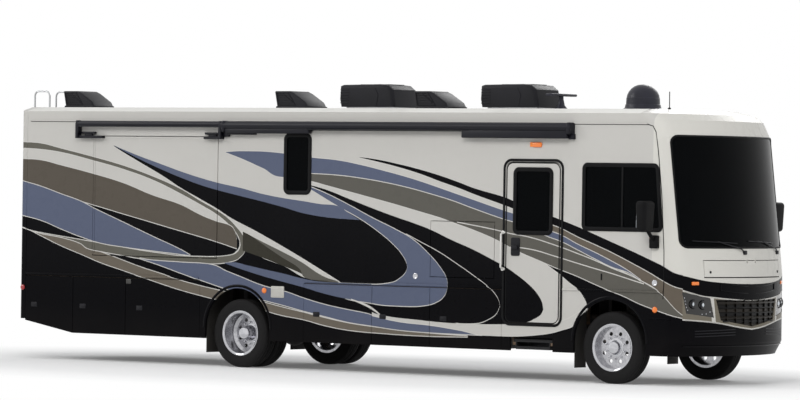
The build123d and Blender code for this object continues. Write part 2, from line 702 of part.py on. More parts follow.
def raise_rear_bay(shell, row):
    """Give the rearmost bay a floor that rises with the skirt."""
    name, rear, front = row
    low = SKIRT_CLEARANCE + BAY_RISE
    high = REAR_BOTTOM + BAY_RISE
    cut = side_prism([(rear - OVERRUN, low - OVERRUN), (SWEEP_START_X, low - OVERRUN), (SWEEP_START_X, low),
                      (rear - OVERRUN, high)], -HALF, HALF)
    plate = side_prism([(rear, high), (SWEEP_START_X, low), (SWEEP_START_X, low + LINING_T),
                        (rear, high + LINING_T)], -LINING_Y, -BAY_INNER_Y)
    return (shell - cut) + plate


def storage_door(row):
    """Side-hinged door with its pin at the top of the front edge, on the right."""
    name, rear, front = row
    half_gap = DOOR_GAP / 2
    panel = block(rear + half_gap, front - half_gap, -HALF, -DOOR_INNER_Y,
                  SKIRT_CLEARANCE, BELT_HEIGHT - DOOR_GAP)
    if rear < SWEEP_START_X:
        panel -= below_sweep()
    x, y = hinge_point(front)
    pin = rod((x, y, BELT_HEIGHT - 2 * DOOR_GAP), (x, y, BELT_HEIGHT - SEAT), HINGE_R)
    return panel + pin


def hinge_point(front):
    """Hinge axis inside the front outer corner of a door."""
    return front - DOOR_GAP / 2 - HINGE_INSET, -HALF + HINGE_INSET


def entry_door():
    """Entry door with its window opening and pins at its front edge."""
    panel = entry_prism(DOOR_GAP, -HALF, -HALF + DOOR_T, ENTRY_R + DOOR_GAP)
    glass = entry_glass_prism(0, -HALF - OVERRUN, -HALF + DOOR_T + OVERRUN)
    panel -= glass
    x = ENTRY_FRONT_X - DOOR_GAP - HINGE_INSET
    y = -HALF + HINGE_INSET
    low = ENTRY_BOTTOM
    return panel + rod((x, y, low + SEAT), (x, y, low + 2 * DOOR_GAP), HINGE_R)


def entry_glass_prism(inset, y0, y1):
    """Window of the entry door."""
    return rounded_window(ENTRY_REAR_X + ENTRY_GLASS_SIDE + inset, ENTRY_FRONT_X - ENTRY_GLASS_SIDE - inset,
                          y0, y1, ENTRY_GLASS_BOTTOM + inset, ENTRY_GLASS_TOP - inset, ENTRY_GLASS_R - inset)


HATCH_HINGE_Z = HATCH_TOP - DOOR_GAP - HINGE_INSET


def screen_hatch():
    """Top-hinged hatch with a pin at each end of its top edge."""
    panel = block(HATCH_X0 + DOOR_GAP, HATCH_X1 - DOOR_GAP, -HALF, -HALF + DOOR_T,
                  HATCH_BOTTOM + DOOR_GAP, HATCH_TOP - DOOR_GAP)
    y = -HALF + HINGE_INSET
    pin = 2 * DOOR_GAP
    for outer, inner in ((HATCH_X0 + SEAT, HATCH_X0 + pin), (HATCH_X1 - SEAT, HATCH_X1 - pin)):
        panel += rod((inner, y, HATCH_HINGE_Z), (outer, y, HATCH_HINGE_Z), HINGE_R)
    return panel


def slide_box(x0, x1, bottom, depth):
    """Room box of a slide-out on the right, open to the inside, on its runners."""
    gap = SLIDE_GAP
    inner = gap + SLIDE_WALL_T
    shell = block(x0 + gap, x1 - gap, -HALF, -HALF + depth, bottom + gap, SLIDE_TOP - gap)
    shell -= block(x0 + inner, x1 - inner, -HALF + SLIDE_WALL_T, -HALF + depth + OVERRUN,
                   bottom + inner, SLIDE_TOP - inner)
    length = x1 - x0
    for near in (x0 + RUNNER_IN_SHARE * length, x1 - RUNNER_IN_SHARE * length - RUNNER_W):
        shell += block(near, near + RUNNER_W, -HALF, -HALF + depth, bottom + SEAT, bottom + gap)
    return shell


# Topper awnings over the slide-outs
TOPPER_DOWN = 175
TOPPER_Z = ROOF_EDGE_HEIGHT - TOPPER_DOWN
TOPPER_R = 42
TOPPER_OVERHANG = 262
TOPPER_FRONT_OVERHANG = 104
TOPPER_ARM_W = 40
TOPPER_ARM_L = 210
TOPPER_ARM_H = 38
TOPPER_DROP = 165


def topper(x0, x1):
    """Roller with a bracket at each end that comes down to the slide-out's face."""
    y = -HALF - TOPPER_R - DOOR_GAP
    start = x0 - TOPPER_OVERHANG
    end = x1 + TOPPER_FRONT_OVERHANG
    pieces = [rod((start, y, TOPPER_Z), (end, y, TOPPER_Z), TOPPER_R)]
    low = TOPPER_Z - TOPPER_DROP - TOPPER_ARM_H
    for near, inward, overhang in ((start, 1, TOPPER_OVERHANG), (end, -1, TOPPER_FRONT_OVERHANG)):
        inner = near + inward * TOPPER_ARM_W
        a, b = sorted((near, inner))
        pieces.append(block(a, b, y - TOPPER_R, -HALF - DOOR_GAP, low, TOPPER_Z))
        reach = near + inward * (overhang + TOPPER_ARM_L)
        a, b = sorted((near, reach))
        pieces.append(block(a, b, y - TOPPER_R / 2, -HALF - DOOR_GAP, low, low + TOPPER_ARM_H))
        a, b = sorted((reach, reach - inward * TOPPER_ARM_L / 2))
        pieces.append(block(a, b, -HALF - DOOR_GAP, -HALF - SEAT, low, low + TOPPER_ARM_H))
    return join(pieces)


# Patio awning
AWNING_REAR_SHARE = 0.0405
AWNING_L = 5810
AWNING_R = 62
AWNING_DOWN = 190
AWNING_Z = ROOF_EDGE_HEIGHT - AWNING_DOWN
AWNING_CASE_H = 60
AWNING_END_L = 260
AWNING_DROP = 55


def patio_awning():
    """Rolled awning with its case and the motor heads at both ends."""
    x0 = ahead(-AWNING_REAR_SHARE)
    x1 = x0 + AWNING_L
    y = -HALF - AWNING_R
    tube = rod((x0, y, AWNING_Z), (x1, y, AWNING_Z), AWNING_R)
    case = block(x0, x1, -HALF - AWNING_R, -HALF, AWNING_Z, AWNING_Z + AWNING_CASE_H)
    pieces = [tube, case]
    low = AWNING_Z - AWNING_R - AWNING_DROP
    for a, b in ((x0, x0 + AWNING_END_L), (x1 - AWNING_END_L, x1)):
        pieces.append(block(a, b, -HALF - AWNING_R, -HALF, low + AWNING_DROP / 2, AWNING_Z))
    return join(pieces)


def windows():
    """Glass of the windshield and the fixed side windows."""
    right_out = -HALF + GLASS_SINK
    right_in = right_out + GLASS_T
    panes = [windshield()]
    panes.append(mid_window_prism(SEAT, right_out, right_in))
    panes.append(cab_window_prism(SEAT, right_out, right_in))
    panes.append(cab_window_prism(SEAT, -right_in, -right_out))
    panes.append(bed_window_prism(SEAT, -right_in, -right_out))
    return group(panes)


def slide_window_prism(shares, inset, y0, y1):
    """One window of the left slide-out."""
    rear_share, front_share = shares
    x0 = SLIDE_L_X0 + rear_share * SLIDE_LEFT_L
    x1 = SLIDE_L_X0 + front_share * SLIDE_LEFT_L
    return rounded_window(x0 + inset, x1 - inset, y0, y1, SLIDE_WINDOW_BOTTOM + inset,
                          SLIDE_WINDOW_TOP - inset, MID_WINDOW_R - inset)


def slide_left():
    """Left slide-out box with its window openings."""
    box = mirrored(slide_box(SLIDE_L_X0, SLIDE_L_X1, SLIDE_LEFT_BOTTOM, SLIDE_LEFT_DEPTH))
    for shares in SLIDE_WINDOW_SHARES:
        box -= slide_window_prism(shares, 0, HALF - SLIDE_WALL_T - OVERRUN, HALF + OVERRUN)
    return box


def slide_left_windows():
    """Glass of the left slide-out."""
    out = HALF - GLASS_SINK
    return group([slide_window_prism(shares, SEAT, out - GLASS_T, out) for shares in SLIDE_WINDOW_SHARES])


# Chassis
CROSS_W = 90
CROSS_H = 80
RAIL_REAR_SHARE = 0.955
RAIL_FRONT_SHARE = 1.155
CROSS_SHARES = [-0.60, -0.44, -0.10, 0.10, 0.33, 0.62, 0.80, 1.145]
BODY_MOUNT_W = 160
RECEIVER_OUTER = 63.5
RECEIVER_INNER = 50.8
RECEIVER_L = 320
RECEIVER_DROP = 110
RECEIVER_Z = RAIL_BOTTOM - RECEIVER_DROP
RECEIVER_PIN_R = 8.1
RECEIVER_PIN_BACK = 70


def chassis_frame():
    """Two rails with cross members, body mounts and the hitch receiver."""
    rear = behind(RAIL_REAR_SHARE)
    front = ahead(RAIL_FRONT_SHARE)
    in_y = RAIL_Y - RAIL_W / 2
    out_y = RAIL_Y + RAIL_W / 2
    places = [ahead(share) for share in CROSS_SHARES]
    pieces = []
    for side in (-1, 1):
        a, b = sorted((side * in_y, side * out_y))
        rail = [block(rear, front, a, b, RAIL_BOTTOM, RAIL_TOP)]
        for x in places:
            rail.append(block(x - BODY_MOUNT_W / 2, x + BODY_MOUNT_W / 2, a, b, RAIL_TOP, FLOOR_BOTTOM))
        pieces.append(join(rail))
    for x in places:
        pieces.append(block(x - CROSS_W / 2, x + CROSS_W / 2, -in_y, in_y, RAIL_TOP - CROSS_H, RAIL_TOP))
    pieces.append(receiver(rear, out_y))
    return group(pieces)


def receiver(rear, out_y):
    """Hitch receiver tube under its cross beam, with the pin bore."""
    half = RECEIVER_OUTER / 2
    bore = RECEIVER_INNER / 2
    tube_x = rear - CROSS_W / 2
    beam = block(rear, rear + CROSS_W, -out_y, out_y, RECEIVER_Z + half, RAIL_BOTTOM)
    tube = block(tube_x, tube_x + RECEIVER_L, -half, half, RECEIVER_Z - half, RECEIVER_Z + half)
    tube -= block(rear - CROSS_W, rear + RECEIVER_L, -bore, bore, RECEIVER_Z - bore, RECEIVER_Z + bore)
    tube -= cross_rod(tube_x + RECEIVER_PIN_BACK, RECEIVER_Z, -RECEIVER_OUTER, RECEIVER_OUTER, RECEIVER_PIN_R)
    return beam + tube


# Axles and springs
SPRING_HALF_L = 650
SPRING_W = 70
SPRING_T = 45
SPRING_SEAT_RISE = 65
SPRING_PAD_Z = AXLE_Z + SPRING_SEAT_RISE
HANGER_L = 90
BEAM_DROP = 40
BEAM_Z = AXLE_Z - BEAM_DROP
BEAM_H = 100
BEAM_W = 110
KINGPIN_INSET = 177
KINGPIN_Y = WHEEL_Y - KINGPIN_INSET
KINGPIN_R = 20
EYE_R = 52
EYE_H = 110
FORK_T = 30
SPINDLE_R = 36
REAR_SPINDLE_R = 48
DIFF_R = 190
AXLE_TUBE_R = 62
SHAFT_R = 45
SHAFT_FRONT_SHARE = 0.88
SHAFT_FRONT_RISE = 50
SHAFT_FRONT_Z = RAIL_BOTTOM + SHAFT_FRONT_RISE


def leaf_spring(axle_x, y):
    """One leaf pack with hangers that meet the rail's underside."""
    hang = RAIL_BOTTOM
    low = hang - SPRING_T
    high = hang - SPRING_T / 2
    rear = axle_x - SPRING_HALF_L
    front = axle_x + SPRING_HALF_L
    outer = ThreePointArc((rear, y, low), (axle_x, y, SPRING_PAD_Z - SPRING_T), (front, y, low))
    inner = ThreePointArc((front, y, high), (axle_x, y, SPRING_PAD_Z - SPRING_T / 2), (rear, y, high))
    ends = [Line(outer @ 1, inner @ 0), Line(inner @ 1, outer @ 0)]
    face = make_face([outer, ends[0], inner, ends[1]])
    strip = extrude(face, amount=SPRING_W / 2, dir=(0, 1, 0), both=True)
    pieces = [strip]
    for side in (-1, 1):
        x = axle_x + side * (SPRING_HALF_L - HANGER_L / 2)
        pieces.append(block(x - HANGER_L / 2, x + HANGER_L / 2, y - SPRING_W / 2, y + SPRING_W / 2,
                            low, hang))
    return join(pieces)


def front_axle():
    """Dropped beam with its eyes for the king pins, on two leaf springs."""
    x = X_FRONT_AXLE
    top = SPRING_PAD_Z - SPRING_T / 2
    pieces = [block(x - BEAM_W / 2, x + BEAM_W / 2, -KINGPIN_Y + EYE_R, KINGPIN_Y - EYE_R,
                    BEAM_Z - BEAM_H / 2, BEAM_Z + BEAM_H / 2)]
    for side in (-1, 1):
        y = side * KINGPIN_Y
        eye = rod((x, y, AXLE_Z - EYE_H / 2), (x, y, AXLE_Z + EYE_H / 2), EYE_R)
        a, b = sorted((side * (KINGPIN_Y - EYE_R), side * (KINGPIN_Y - 2 * EYE_R)))
        pieces += [eye, block(x - EYE_R, x + EYE_R, a, b, BEAM_Z - BEAM_H / 2, AXLE_Z + EYE_H / 2)]
        a, b = sorted((side * (KINGPIN_Y - EYE_R), y))
        pieces.append(block(x - EYE_R / 2, x + EYE_R / 2, a, b, AXLE_Z - EYE_H / 2, AXLE_Z + EYE_H / 2))
        spring_y = side * RAIL_Y
        pieces.append(leaf_spring(x, spring_y))
        pieces.append(block(x - BEAM_W / 2, x + BEAM_W / 2, spring_y - SPRING_W / 2, spring_y + SPRING_W / 2,
                            BEAM_Z, top))
    axle = join(pieces)
    for side in (-1, 1):
        y = side * KINGPIN_Y
        axle -= rod((x, y, AXLE_Z - EYE_H), (x, y, AXLE_Z + EYE_H), KINGPIN_R + RUN_FIT)
    return axle


HUB_INSET = 87
HUB_Y = WHEEL_Y - HUB_INSET
SPINDLE_REACH = 43
SPINDLE_END_Y = WHEEL_Y + SPINDLE_REACH
FORK_W = 100


def knuckle():
    """Right steering knuckle: king pin, fork and spindle."""
    x = X_FRONT_AXLE
    y = -KINGPIN_Y
    half = EYE_H / 2 + SEAT
    pin = rod((x, y, AXLE_Z - half - FORK_T), (x, y, AXLE_Z + half + FORK_T), KINGPIN_R)
    pieces = [pin]
    for a, b in ((AXLE_Z - half - FORK_T, AXLE_Z - half), (AXLE_Z + half, AXLE_Z + half + FORK_T)):
        pieces.append(block(x - FORK_W / 2, x + FORK_W / 2, -HUB_Y, y + KINGPIN_R, a, b))
    web = -KINGPIN_Y - EYE_R - DOOR_GAP
    pieces.append(block(x - FORK_W / 2, x + FORK_W / 2, -HUB_Y, web,
                        AXLE_Z - half - FORK_T, AXLE_Z + half + FORK_T))
    pieces.append(cross_rod(x, AXLE_Z, -SPINDLE_END_Y, -HUB_Y + KINGPIN_R, SPINDLE_R))
    return join(pieces)


# Wheels
TWIN_GAP = 270
SHOULDER_SHARE = 0.207
BEAD_W = 196
SIDEWALL_SHARE = 0.62
RIM_LIP = 22
RIM_WALL = 12
DISC_T = 16
HUB_R = 92
HUB_CAP_R = 78
CAP_OUT = 26
HAND_HOLE_R = 26
HAND_HOLE_PITCH_SHARE = 0.664
HAND_HOLES = 8
DISC_IN = 20
DISC_FLAT_SHARE = 0.822
REAR_HUB_R = 110


def wheel_profile(points):
    """Ring turned about the axle from an outline of (radius, offset outwards)."""
    face = make_face(Polyline([Vector(0, -offset, radius) for radius, offset in points], close=True))
    return revolve(face, Axis.Y)


def tyre_ring():
    """Tyre about the origin, turned from its section: bead, sidewall and tread."""
    outer = TYRE_DIAMETER / 2
    half = TYRE_WIDTH / 2
    bead = BEAD_W / 2
    depth = outer - RIM_SEAT_RADIUS
    shoulder = SHOULDER_SHARE * depth
    line = [
        (RIM_SEAT_RADIUS + SEAT, bead), (RIM_SEAT_RADIUS + RIM_LIP + SEAT, bead),
        (RIM_SEAT_RADIUS + SIDEWALL_SHARE * depth, half), (outer - shoulder, half - shoulder / 6),
        (outer - shoulder / 4, half - shoulder / 2), (outer, half - shoulder),
    ]
    back = [(radius, -offset) for radius, offset in reversed(line)]
    return wheel_profile(line + back)


def rim_barrel():
    """Barrel with a lip on each side of the tyre's beads."""
    bead = BEAD_W / 2 + SEAT
    seat = RIM_SEAT_RADIUS
    return wheel_profile([
        (seat, -bead), (seat, bead), (seat + RIM_LIP, bead), (seat + RIM_LIP, bead + RIM_WALL / 2),
        (seat - RIM_WALL, bead + RIM_WALL / 2), (seat - RIM_WALL, -bead - RIM_WALL / 2),
        (seat + RIM_LIP, -bead - RIM_WALL / 2), (seat + RIM_LIP, -bead),
    ])


def disc(offset, edge):
    """Wheel disc with a ring of round hand holes; its edge meets the barrel at its own offset."""
    reach = RIM_SEAT_RADIUS - RIM_WALL / 2
    flat = RIM_SEAT_RADIUS * DISC_FLAT_SHARE
    pitch = RIM_SEAT_RADIUS * HAND_HOLE_PITCH_SHARE
    plate = wheel_profile([
        (0, offset - DISC_T / 2), (0, offset + DISC_T / 2), (flat, offset + DISC_T / 2),
        (reach, edge + DISC_T / 2), (reach, edge - DISC_T / 2), (flat, offset - DISC_T / 2),
    ])
    for turn in range(HAND_HOLES):
        angle = (turn + 0.5) * 2 * math.pi / HAND_HOLES
        x = pitch * math.cos(angle)
        z = pitch * math.sin(angle)
        plate -= cross_rod(x, z, -offset - DISC_T, -offset + DISC_T, HAND_HOLE_R)
    return plate


def front_rim():
    """Right front rim: barrel, disc near the outer face, hub over the spindle."""
    hub_in = HUB_Y + SEAT - WHEEL_Y
    hub_out = DISC_IN + CAP_OUT * 2
    body = rim_barrel() + disc(DISC_IN, DISC_IN)
    body += wheel_profile([
        (0, hub_in), (0, hub_out), (HUB_CAP_R, hub_out), (HUB_R, DISC_IN), (HUB_R, hub_in),
    ])
    bore_end = SPINDLE_END_Y + SEAT - WHEEL_Y
    body -= wheel_profile([(0, hub_in - OVERRUN), (0, bore_end), (SPINDLE_R + RUN_FIT, bore_end),
                           (SPINDLE_R + RUN_FIT, hub_in - OVERRUN)])
    return body.moved(Location((X_FRONT_AXLE, -WHEEL_Y, AXLE_Z)))


def front_tyre():
    """Right front tyre."""
    return tyre_ring().moved(Location((X_FRONT_AXLE, -WHEEL_Y, AXLE_Z)))


def rear_rims():
    """Right twin rims, whose discs meet between the two tyres, and the hub."""
    place = -TWIN_GAP / 2 + DISC_T / 2
    edge = -BEAD_W / 2 + DISC_T / 2
    outer = rim_barrel() + disc(place, edge)
    inner = (rim_barrel() + disc(-place, -edge)).moved(Location((0, TWIN_GAP, 0)))
    hub_in = -TWIN_GAP - BEAD_W / 2
    hub_out = CAP_OUT
    hub = wheel_profile([
        (0, hub_in), (0, hub_out), (HUB_CAP_R, hub_out), (REAR_HUB_R, place), (REAR_HUB_R, hub_in),
    ])
    body = outer + inner + hub
    bore_end = -TWIN_GAP / 2 + SEAT
    body -= wheel_profile([(0, hub_in - OVERRUN), (0, bore_end), (REAR_SPINDLE_R + RUN_FIT, bore_end),
                           (REAR_SPINDLE_R + RUN_FIT, hub_in - OVERRUN)])
    return body.moved(Location((X_REAR_AXLE, -WHEEL_Y, AXLE_Z)))


def rear_tyres():
    """Right twin tyres."""
    outer = tyre_ring().moved(Location((X_REAR_AXLE, -WHEEL_Y, AXLE_Z)))
    inner = tyre_ring().moved(Location((X_REAR_AXLE, -WHEEL_Y + TWIN_GAP, AXLE_Z)))
    return group([outer, inner])


def rear_axle():
    """Axle housing with differential, spindles, springs and the drive shaft."""
    x = X_REAR_AXLE
    hub_in = WHEEL_Y - TWIN_GAP - BEAD_W / 2 - SEAT
    end = WHEEL_Y - TWIN_GAP / 2
    pieces = [cross_rod(x, AXLE_Z, -hub_in, hub_in, AXLE_TUBE_R),
              cross_rod(x, AXLE_Z, -end, end, REAR_SPINDLE_R), Pos(x, 0, AXLE_Z) * Sphere(DIFF_R)]
    end_x = ahead(SHAFT_FRONT_SHARE)
    shaft = rod((x, 0, AXLE_Z), (end_x + SHAFT_R, 0, SHAFT_FRONT_Z), SHAFT_R)
    pieces.append(shaft - block(end_x, end_x + 2 * SHAFT_R, -DIFF_R, DIFF_R, AXLE_Z, ENGINE_TOP))
    for side in (-1, 1):
        y = side * RAIL_Y
        pieces.append(leaf_spring(x, y))
        pieces.append(block(x - AXLE_TUBE_R, x + AXLE_TUBE_R, y - SPRING_W / 2, y + SPRING_W / 2,
                            AXLE_Z - AXLE_TUBE_R, SPRING_PAD_Z - SPRING_T / 2))
    return join(pieces)


# Engine, tanks and exhaust
ENGINE_REAR_SHARE = 0.935
ENGINE_L = 930
ENGINE_HALF_W = 300
ENGINE_DROP = 55
ENGINE_FLOOR_GAP = 23
ENGINE_BOTTOM = RAIL_BOTTOM - ENGINE_DROP
ENGINE_TOP = FLOOR_BOTTOM - ENGINE_FLOOR_GAP
GEARBOX_HALF_W = 170
GEARBOX_RISE = 60
GEARBOX_TOP = RAIL_TOP + GEARBOX_RISE
RADIATOR_T = 90
RADIATOR_GAP = 210
RADIATOR_HALF_W = 360


def engine_block():
    """Plain block of the engine with its gearbox, neck and radiator."""
    x0 = ahead(ENGINE_REAR_SHARE)
    x1 = x0 + ENGINE_L
    gearbox = block(ahead(SHAFT_FRONT_SHARE) + SEAT, x0, -GEARBOX_HALF_W, GEARBOX_HALF_W,
                    ENGINE_BOTTOM, GEARBOX_TOP)
    engine = block(x0, x1, -ENGINE_HALF_W, ENGINE_HALF_W, ENGINE_BOTTOM, ENGINE_TOP)
    neck = block(x1, x1 + RADIATOR_GAP, -GEARBOX_HALF_W, GEARBOX_HALF_W, GEARBOX_TOP, ENGINE_TOP)
    radiator = block(x1 + RADIATOR_GAP, x1 + RADIATOR_GAP + RADIATOR_T, -RADIATOR_HALF_W, RADIATOR_HALF_W,
                     ENGINE_BOTTOM, ENGINE_TOP)
    stub = 2 * SHAFT_R
    reach = RAIL_Y - RAIL_W / 2
    mounts = block(x0 + stub, x0 + 2 * stub, -reach, reach, RAIL_BOTTOM, RAIL_TOP - CROSS_H)
    return join([gearbox, engine, neck, radiator, mounts])


FUEL_SHARES = (0.64, 0.33)
HOLDING_SHARES = [(0.13, 0.31), (0.35, 0.60)]
TANK_DROP = 60
HOLDING_RISE = 20
TANK_BOTTOM = RAIL_BOTTOM - TANK_DROP
HOLDING_BOTTOM = RAIL_TOP + HOLDING_RISE


def tanks():
    """Fuel tank behind the rear axle and holding tanks above the cross members."""
    side = RAIL_Y - RAIL_W / 2
    fuel = block(behind(FUEL_SHARES[0]), behind(FUEL_SHARES[1]), -side, side, TANK_BOTTOM, RAIL_TOP - CROSS_H)
    pieces = [fuel]
    for rear_share, front_share in HOLDING_SHARES:
        pieces.append(block(ahead(rear_share), ahead(front_share), -side, side, HOLDING_BOTTOM, FLOOR_BOTTOM))
    return group(pieces)


EXHAUST_R = 38
MUFFLER_R = 105
MUFFLER_L = 620
EXHAUST_Y = 255
EXHAUST_DROP = 17
EXHAUST_Z = RAIL_BOTTOM - EXHAUST_DROP
MUFFLER_SHARE = 0.66
EXHAUST_OUT_SHARE = 0.74


def exhaust():
    """Muffler beside the drive shaft with a tail pipe out to the left."""
    front = ahead(ENGINE_REAR_SHARE) - SEAT
    start = ahead(MUFFLER_SHARE)
    out_x = ahead(EXHAUST_OUT_SHARE)
    y = EXHAUST_Y
    pieces = [rod((start, y, EXHAUST_Z), (start + MUFFLER_L, y, EXHAUST_Z), MUFFLER_R)]
    pieces.append(rod((start + MUFFLER_L, y, EXHAUST_Z), (front, y, EXHAUST_Z), EXHAUST_R))
    low = EXHAUST_Z - MUFFLER_R
    pieces.append(rod((out_x, y, low), (out_x, HALF - SKIRT_T * 2, low), EXHAUST_R))
    pieces.append(Pos(out_x, y, low) * Sphere(EXHAUST_R))
    return join(pieces)


# Mud flaps
FLAP_T = 12
FLAP_W = 560
FLAP_FRONT_W = 250
FLAP_LOW = 190


def mud_flaps():
    """Rubber flaps behind the wheels, hung from the floor on their brackets."""
    pieces = []
    for axle_x, width in ((X_REAR_AXLE, FLAP_W), (X_FRONT_AXLE, FLAP_FRONT_W)):
        x = axle_x - ARCH_R - FLAP_T
        for side in (-1, 1):
            a, b = sorted((side * (HALF - 2 * SKIRT_T), side * (HALF - 2 * SKIRT_T - width)))
            pieces.append(block(x - FLAP_T, x, a, b, FLAP_LOW, FLOOR_BOTTOM))
    return group(pieces)


# Mirrors
MIRROR_X_SHARE = 1.117
MIRROR_OUT = 290
MIRROR_W = 235
MIRROR_H = 410
MIRROR_D = 150
MIRROR_Z = up(0.454)
MIRROR_R = 45
MIRROR_ARM_R = 28
MIRROR_FOOT_Z = up(0.2879)
MIRROR_FOOT_L = 130
MIRROR_FOOT_H = 170
MIRROR_FOOT_T = 40


def mirror_piece():
    """Right mirror: head, bent arm and foot on the wall."""
    x = ahead(MIRROR_X_SHARE)
    y = -HALF - MIRROR_OUT
    head = block(x - MIRROR_D / 2, x + MIRROR_D / 2, y - MIRROR_W / 2, y + MIRROR_W / 2,
                 MIRROR_Z - MIRROR_H / 2, MIRROR_Z + MIRROR_H / 2)
    head = fillet(head.edges().filter_by(Axis.X), MIRROR_R)
    foot = block(x - MIRROR_FOOT_L / 2, x + MIRROR_FOOT_L / 2, -HALF - MIRROR_FOOT_T, -HALF,
                 MIRROR_FOOT_Z - MIRROR_FOOT_H / 2, MIRROR_FOOT_Z + MIRROR_FOOT_H / 2)
    arm = rod((x, -HALF - MIRROR_FOOT_T / 2, MIRROR_FOOT_Z), (x, y, MIRROR_FOOT_Z), MIRROR_ARM_R)
    post = rod((x, y, MIRROR_FOOT_Z), (x, y, MIRROR_Z), MIRROR_ARM_R)
    return join([head, foot, arm, post, Pos(x, y, MIRROR_FOOT_Z) * Sphere(MIRROR_ARM_R)])


def mirrors():
    """Both door mirrors."""
    right = mirror_piece()
    return group([right, mirrored(right)])


# Roof equipment
AC_L = 950
AC_H = 317
AC_HALF_W = 300
AC_SHARES = [0.1521, 0.5393]
AC_FOOT = 28
AC_NOSE_SHARE = 0.26
AC_TAIL_SHARE = 0.05
VENT_L = 580
VENT_HALF_W = 230
VENT_RISE = 240
VENT_Y = 450
VENT_SHARES = [-0.6052, 0.0179, 0.4051]
VENT_SLOPE_SHARE = 0.42
VENT_LEAN_SHARE = 0.06


def air_conditioners():
    """Two roof units with a sloping nose and a short plinth."""
    pieces = []
    base = ROOF_TOP + AC_FOOT
    top = base + AC_H
    lean = AC_L * AC_TAIL_SHARE
    for share in AC_SHARES:
        x0 = ahead(share)
        x1 = x0 + AC_L
        body = side_prism([
            (x0, base + AC_H * AC_TAIL_SHARE), (x0 + lean, top), (x1 - AC_L * AC_NOSE_SHARE, top),
            (x1, base + AC_H / 3), (x1 - lean, base), (x0 + lean, base),
        ], -AC_HALF_W, AC_HALF_W)
        plinth = block(x0 + 2 * lean, x1 - 2 * lean, -AC_HALF_W * 2 / 3, AC_HALF_W * 2 / 3, ROOF_TOP, base)
        pieces.append(body + plinth)
    return group(pieces)


def vent_covers():
    """Three hoods over the roof vents, sloping towards the front."""
    pieces = []
    top = ROOF_TOP + VENT_RISE
    for share in VENT_SHARES:
        x0 = ahead(share)
        x1 = x0 + VENT_L
        pieces.append(side_prism([
            (x0 + VENT_L * VENT_LEAN_SHARE, ROOF_TOP), (x0, top), (x1 - VENT_L * VENT_SLOPE_SHARE, top),
            (x1, ROOF_TOP + VENT_RISE / 4), (x1, ROOF_TOP),
        ], -VENT_Y - VENT_HALF_W, -VENT_Y + VENT_HALF_W))
    return group(pieces)


DOME_R = 270
DOME_SHARE = 0.937
DOME_WALL_H = 75
AERIAL_SHARE = 0.735
AERIAL_RISE = 180
AERIAL_HALF_W = 420
AERIAL_L = 160
AERIAL_T = 40
AERIAL_MAST_R = 22
WHIP_R = 6
WHIP_SHARE = 1.08
WHIP_Y = 700
WHIP_RISE = 230


def roof_aerials():
    """Satellite dome, television aerial on its mast and the radio whip."""
    dome_x = ahead(DOME_SHARE)
    spring = ROOF_TOP + DOME_WALL_H
    wall = rod((dome_x, 0, ROOF_TOP), (dome_x, 0, spring), DOME_R)
    reach = DOME_R + OVERRUN
    below = block(dome_x - reach, dome_x + reach, -reach, reach, spring - reach, spring)
    dome = (Pos(dome_x, 0, spring) * Sphere(DOME_R)) - below
    x = ahead(AERIAL_SHARE)
    low = ROOF_TOP + AERIAL_RISE
    mast = rod((x, 0, ROOF_TOP), (x, 0, low), AERIAL_MAST_R)
    wing = block(x - AERIAL_L / 2, x + AERIAL_L / 2, -AERIAL_HALF_W, AERIAL_HALF_W, low, low + AERIAL_T)
    whip_x = ahead(WHIP_SHARE)
    whip = rod((whip_x, -WHIP_Y, ROOF_TOP), (whip_x, -WHIP_Y, ROOF_TOP + WHIP_RISE), WHIP_R)
    return group([wall + dome, mast + wing, whip])


# Ladder
LADDER_Y = -650
LADDER_HALF_W = 230
LADDER_R = 13
LADDER_FOOT_RISE = 67
LADDER_HOOP_RISE = 230
LADDER_LOW = BELT_HEIGHT + LADDER_FOOT_RISE
LADDER_TOP = ROOF_TOP + LADDER_HOOP_RISE
LADDER_RUNGS = 8
LADDER_HOOP_IN = 170
LADDER_BEND = 70
RUNG_R = 11
LADDER_BRACKET_SHARES = [0.06, 0.5, 0.86]


def ladder():
    """Bent tube ladder on the rear wall, its hoops over the roof's edge."""
    x = X_REAR - LADDER_REACH + LADDER_R
    pieces = []
    roof_x = X_REAR + LADDER_HOOP_IN
    for side in (-1, 1):
        y = LADDER_Y + side * LADDER_HALF_W
        pieces.append(tube([(x, y, LADDER_LOW), (x, y, LADDER_TOP), (roof_x, y, LADDER_TOP),
                            (roof_x, y, ROOF_TOP + SEAT)], LADDER_R, LADDER_BEND))
        for share in LADDER_BRACKET_SHARES:
            z = LADDER_LOW + share * (ROOF_EDGE_HEIGHT - LADDER_LOW)
            pieces.append(rod((x, y, z), (X_REAR - SEAT, y, z), RUNG_R))
    for rung in range(LADDER_RUNGS):
        z = LADDER_LOW + (rung + 0.5) * (ROOF_EDGE_HEIGHT - LADDER_LOW) / LADDER_RUNGS
        pieces.append(cross_rod(x, z, LADDER_Y - LADDER_HALF_W, LADDER_Y + LADDER_HALF_W, RUNG_R))
    return join(pieces)


# Entry step
STEP_L = 620
STEP_T = 40
STEP_DEPTH = 300
STEP_UNDER_SILL = 241
STEP_Z = ENTRY_BOTTOM - STEP_UNDER_SILL
STEP_DROP = 95
STEP_CHEEK_T = 12
STEP_LEDGE = 30
STEP_HANGER_T = 10
STEP_NOTCH_RISE = 20
STEP_NOTCH_TOP = STEP_Z + STEP_T + STEP_NOTCH_RISE
STEP_MID_X = ENTRY_REAR_X + ENTRY_W / 2
STEP_OUT_Y = -HALF + SKIRT_T + DOOR_GAP


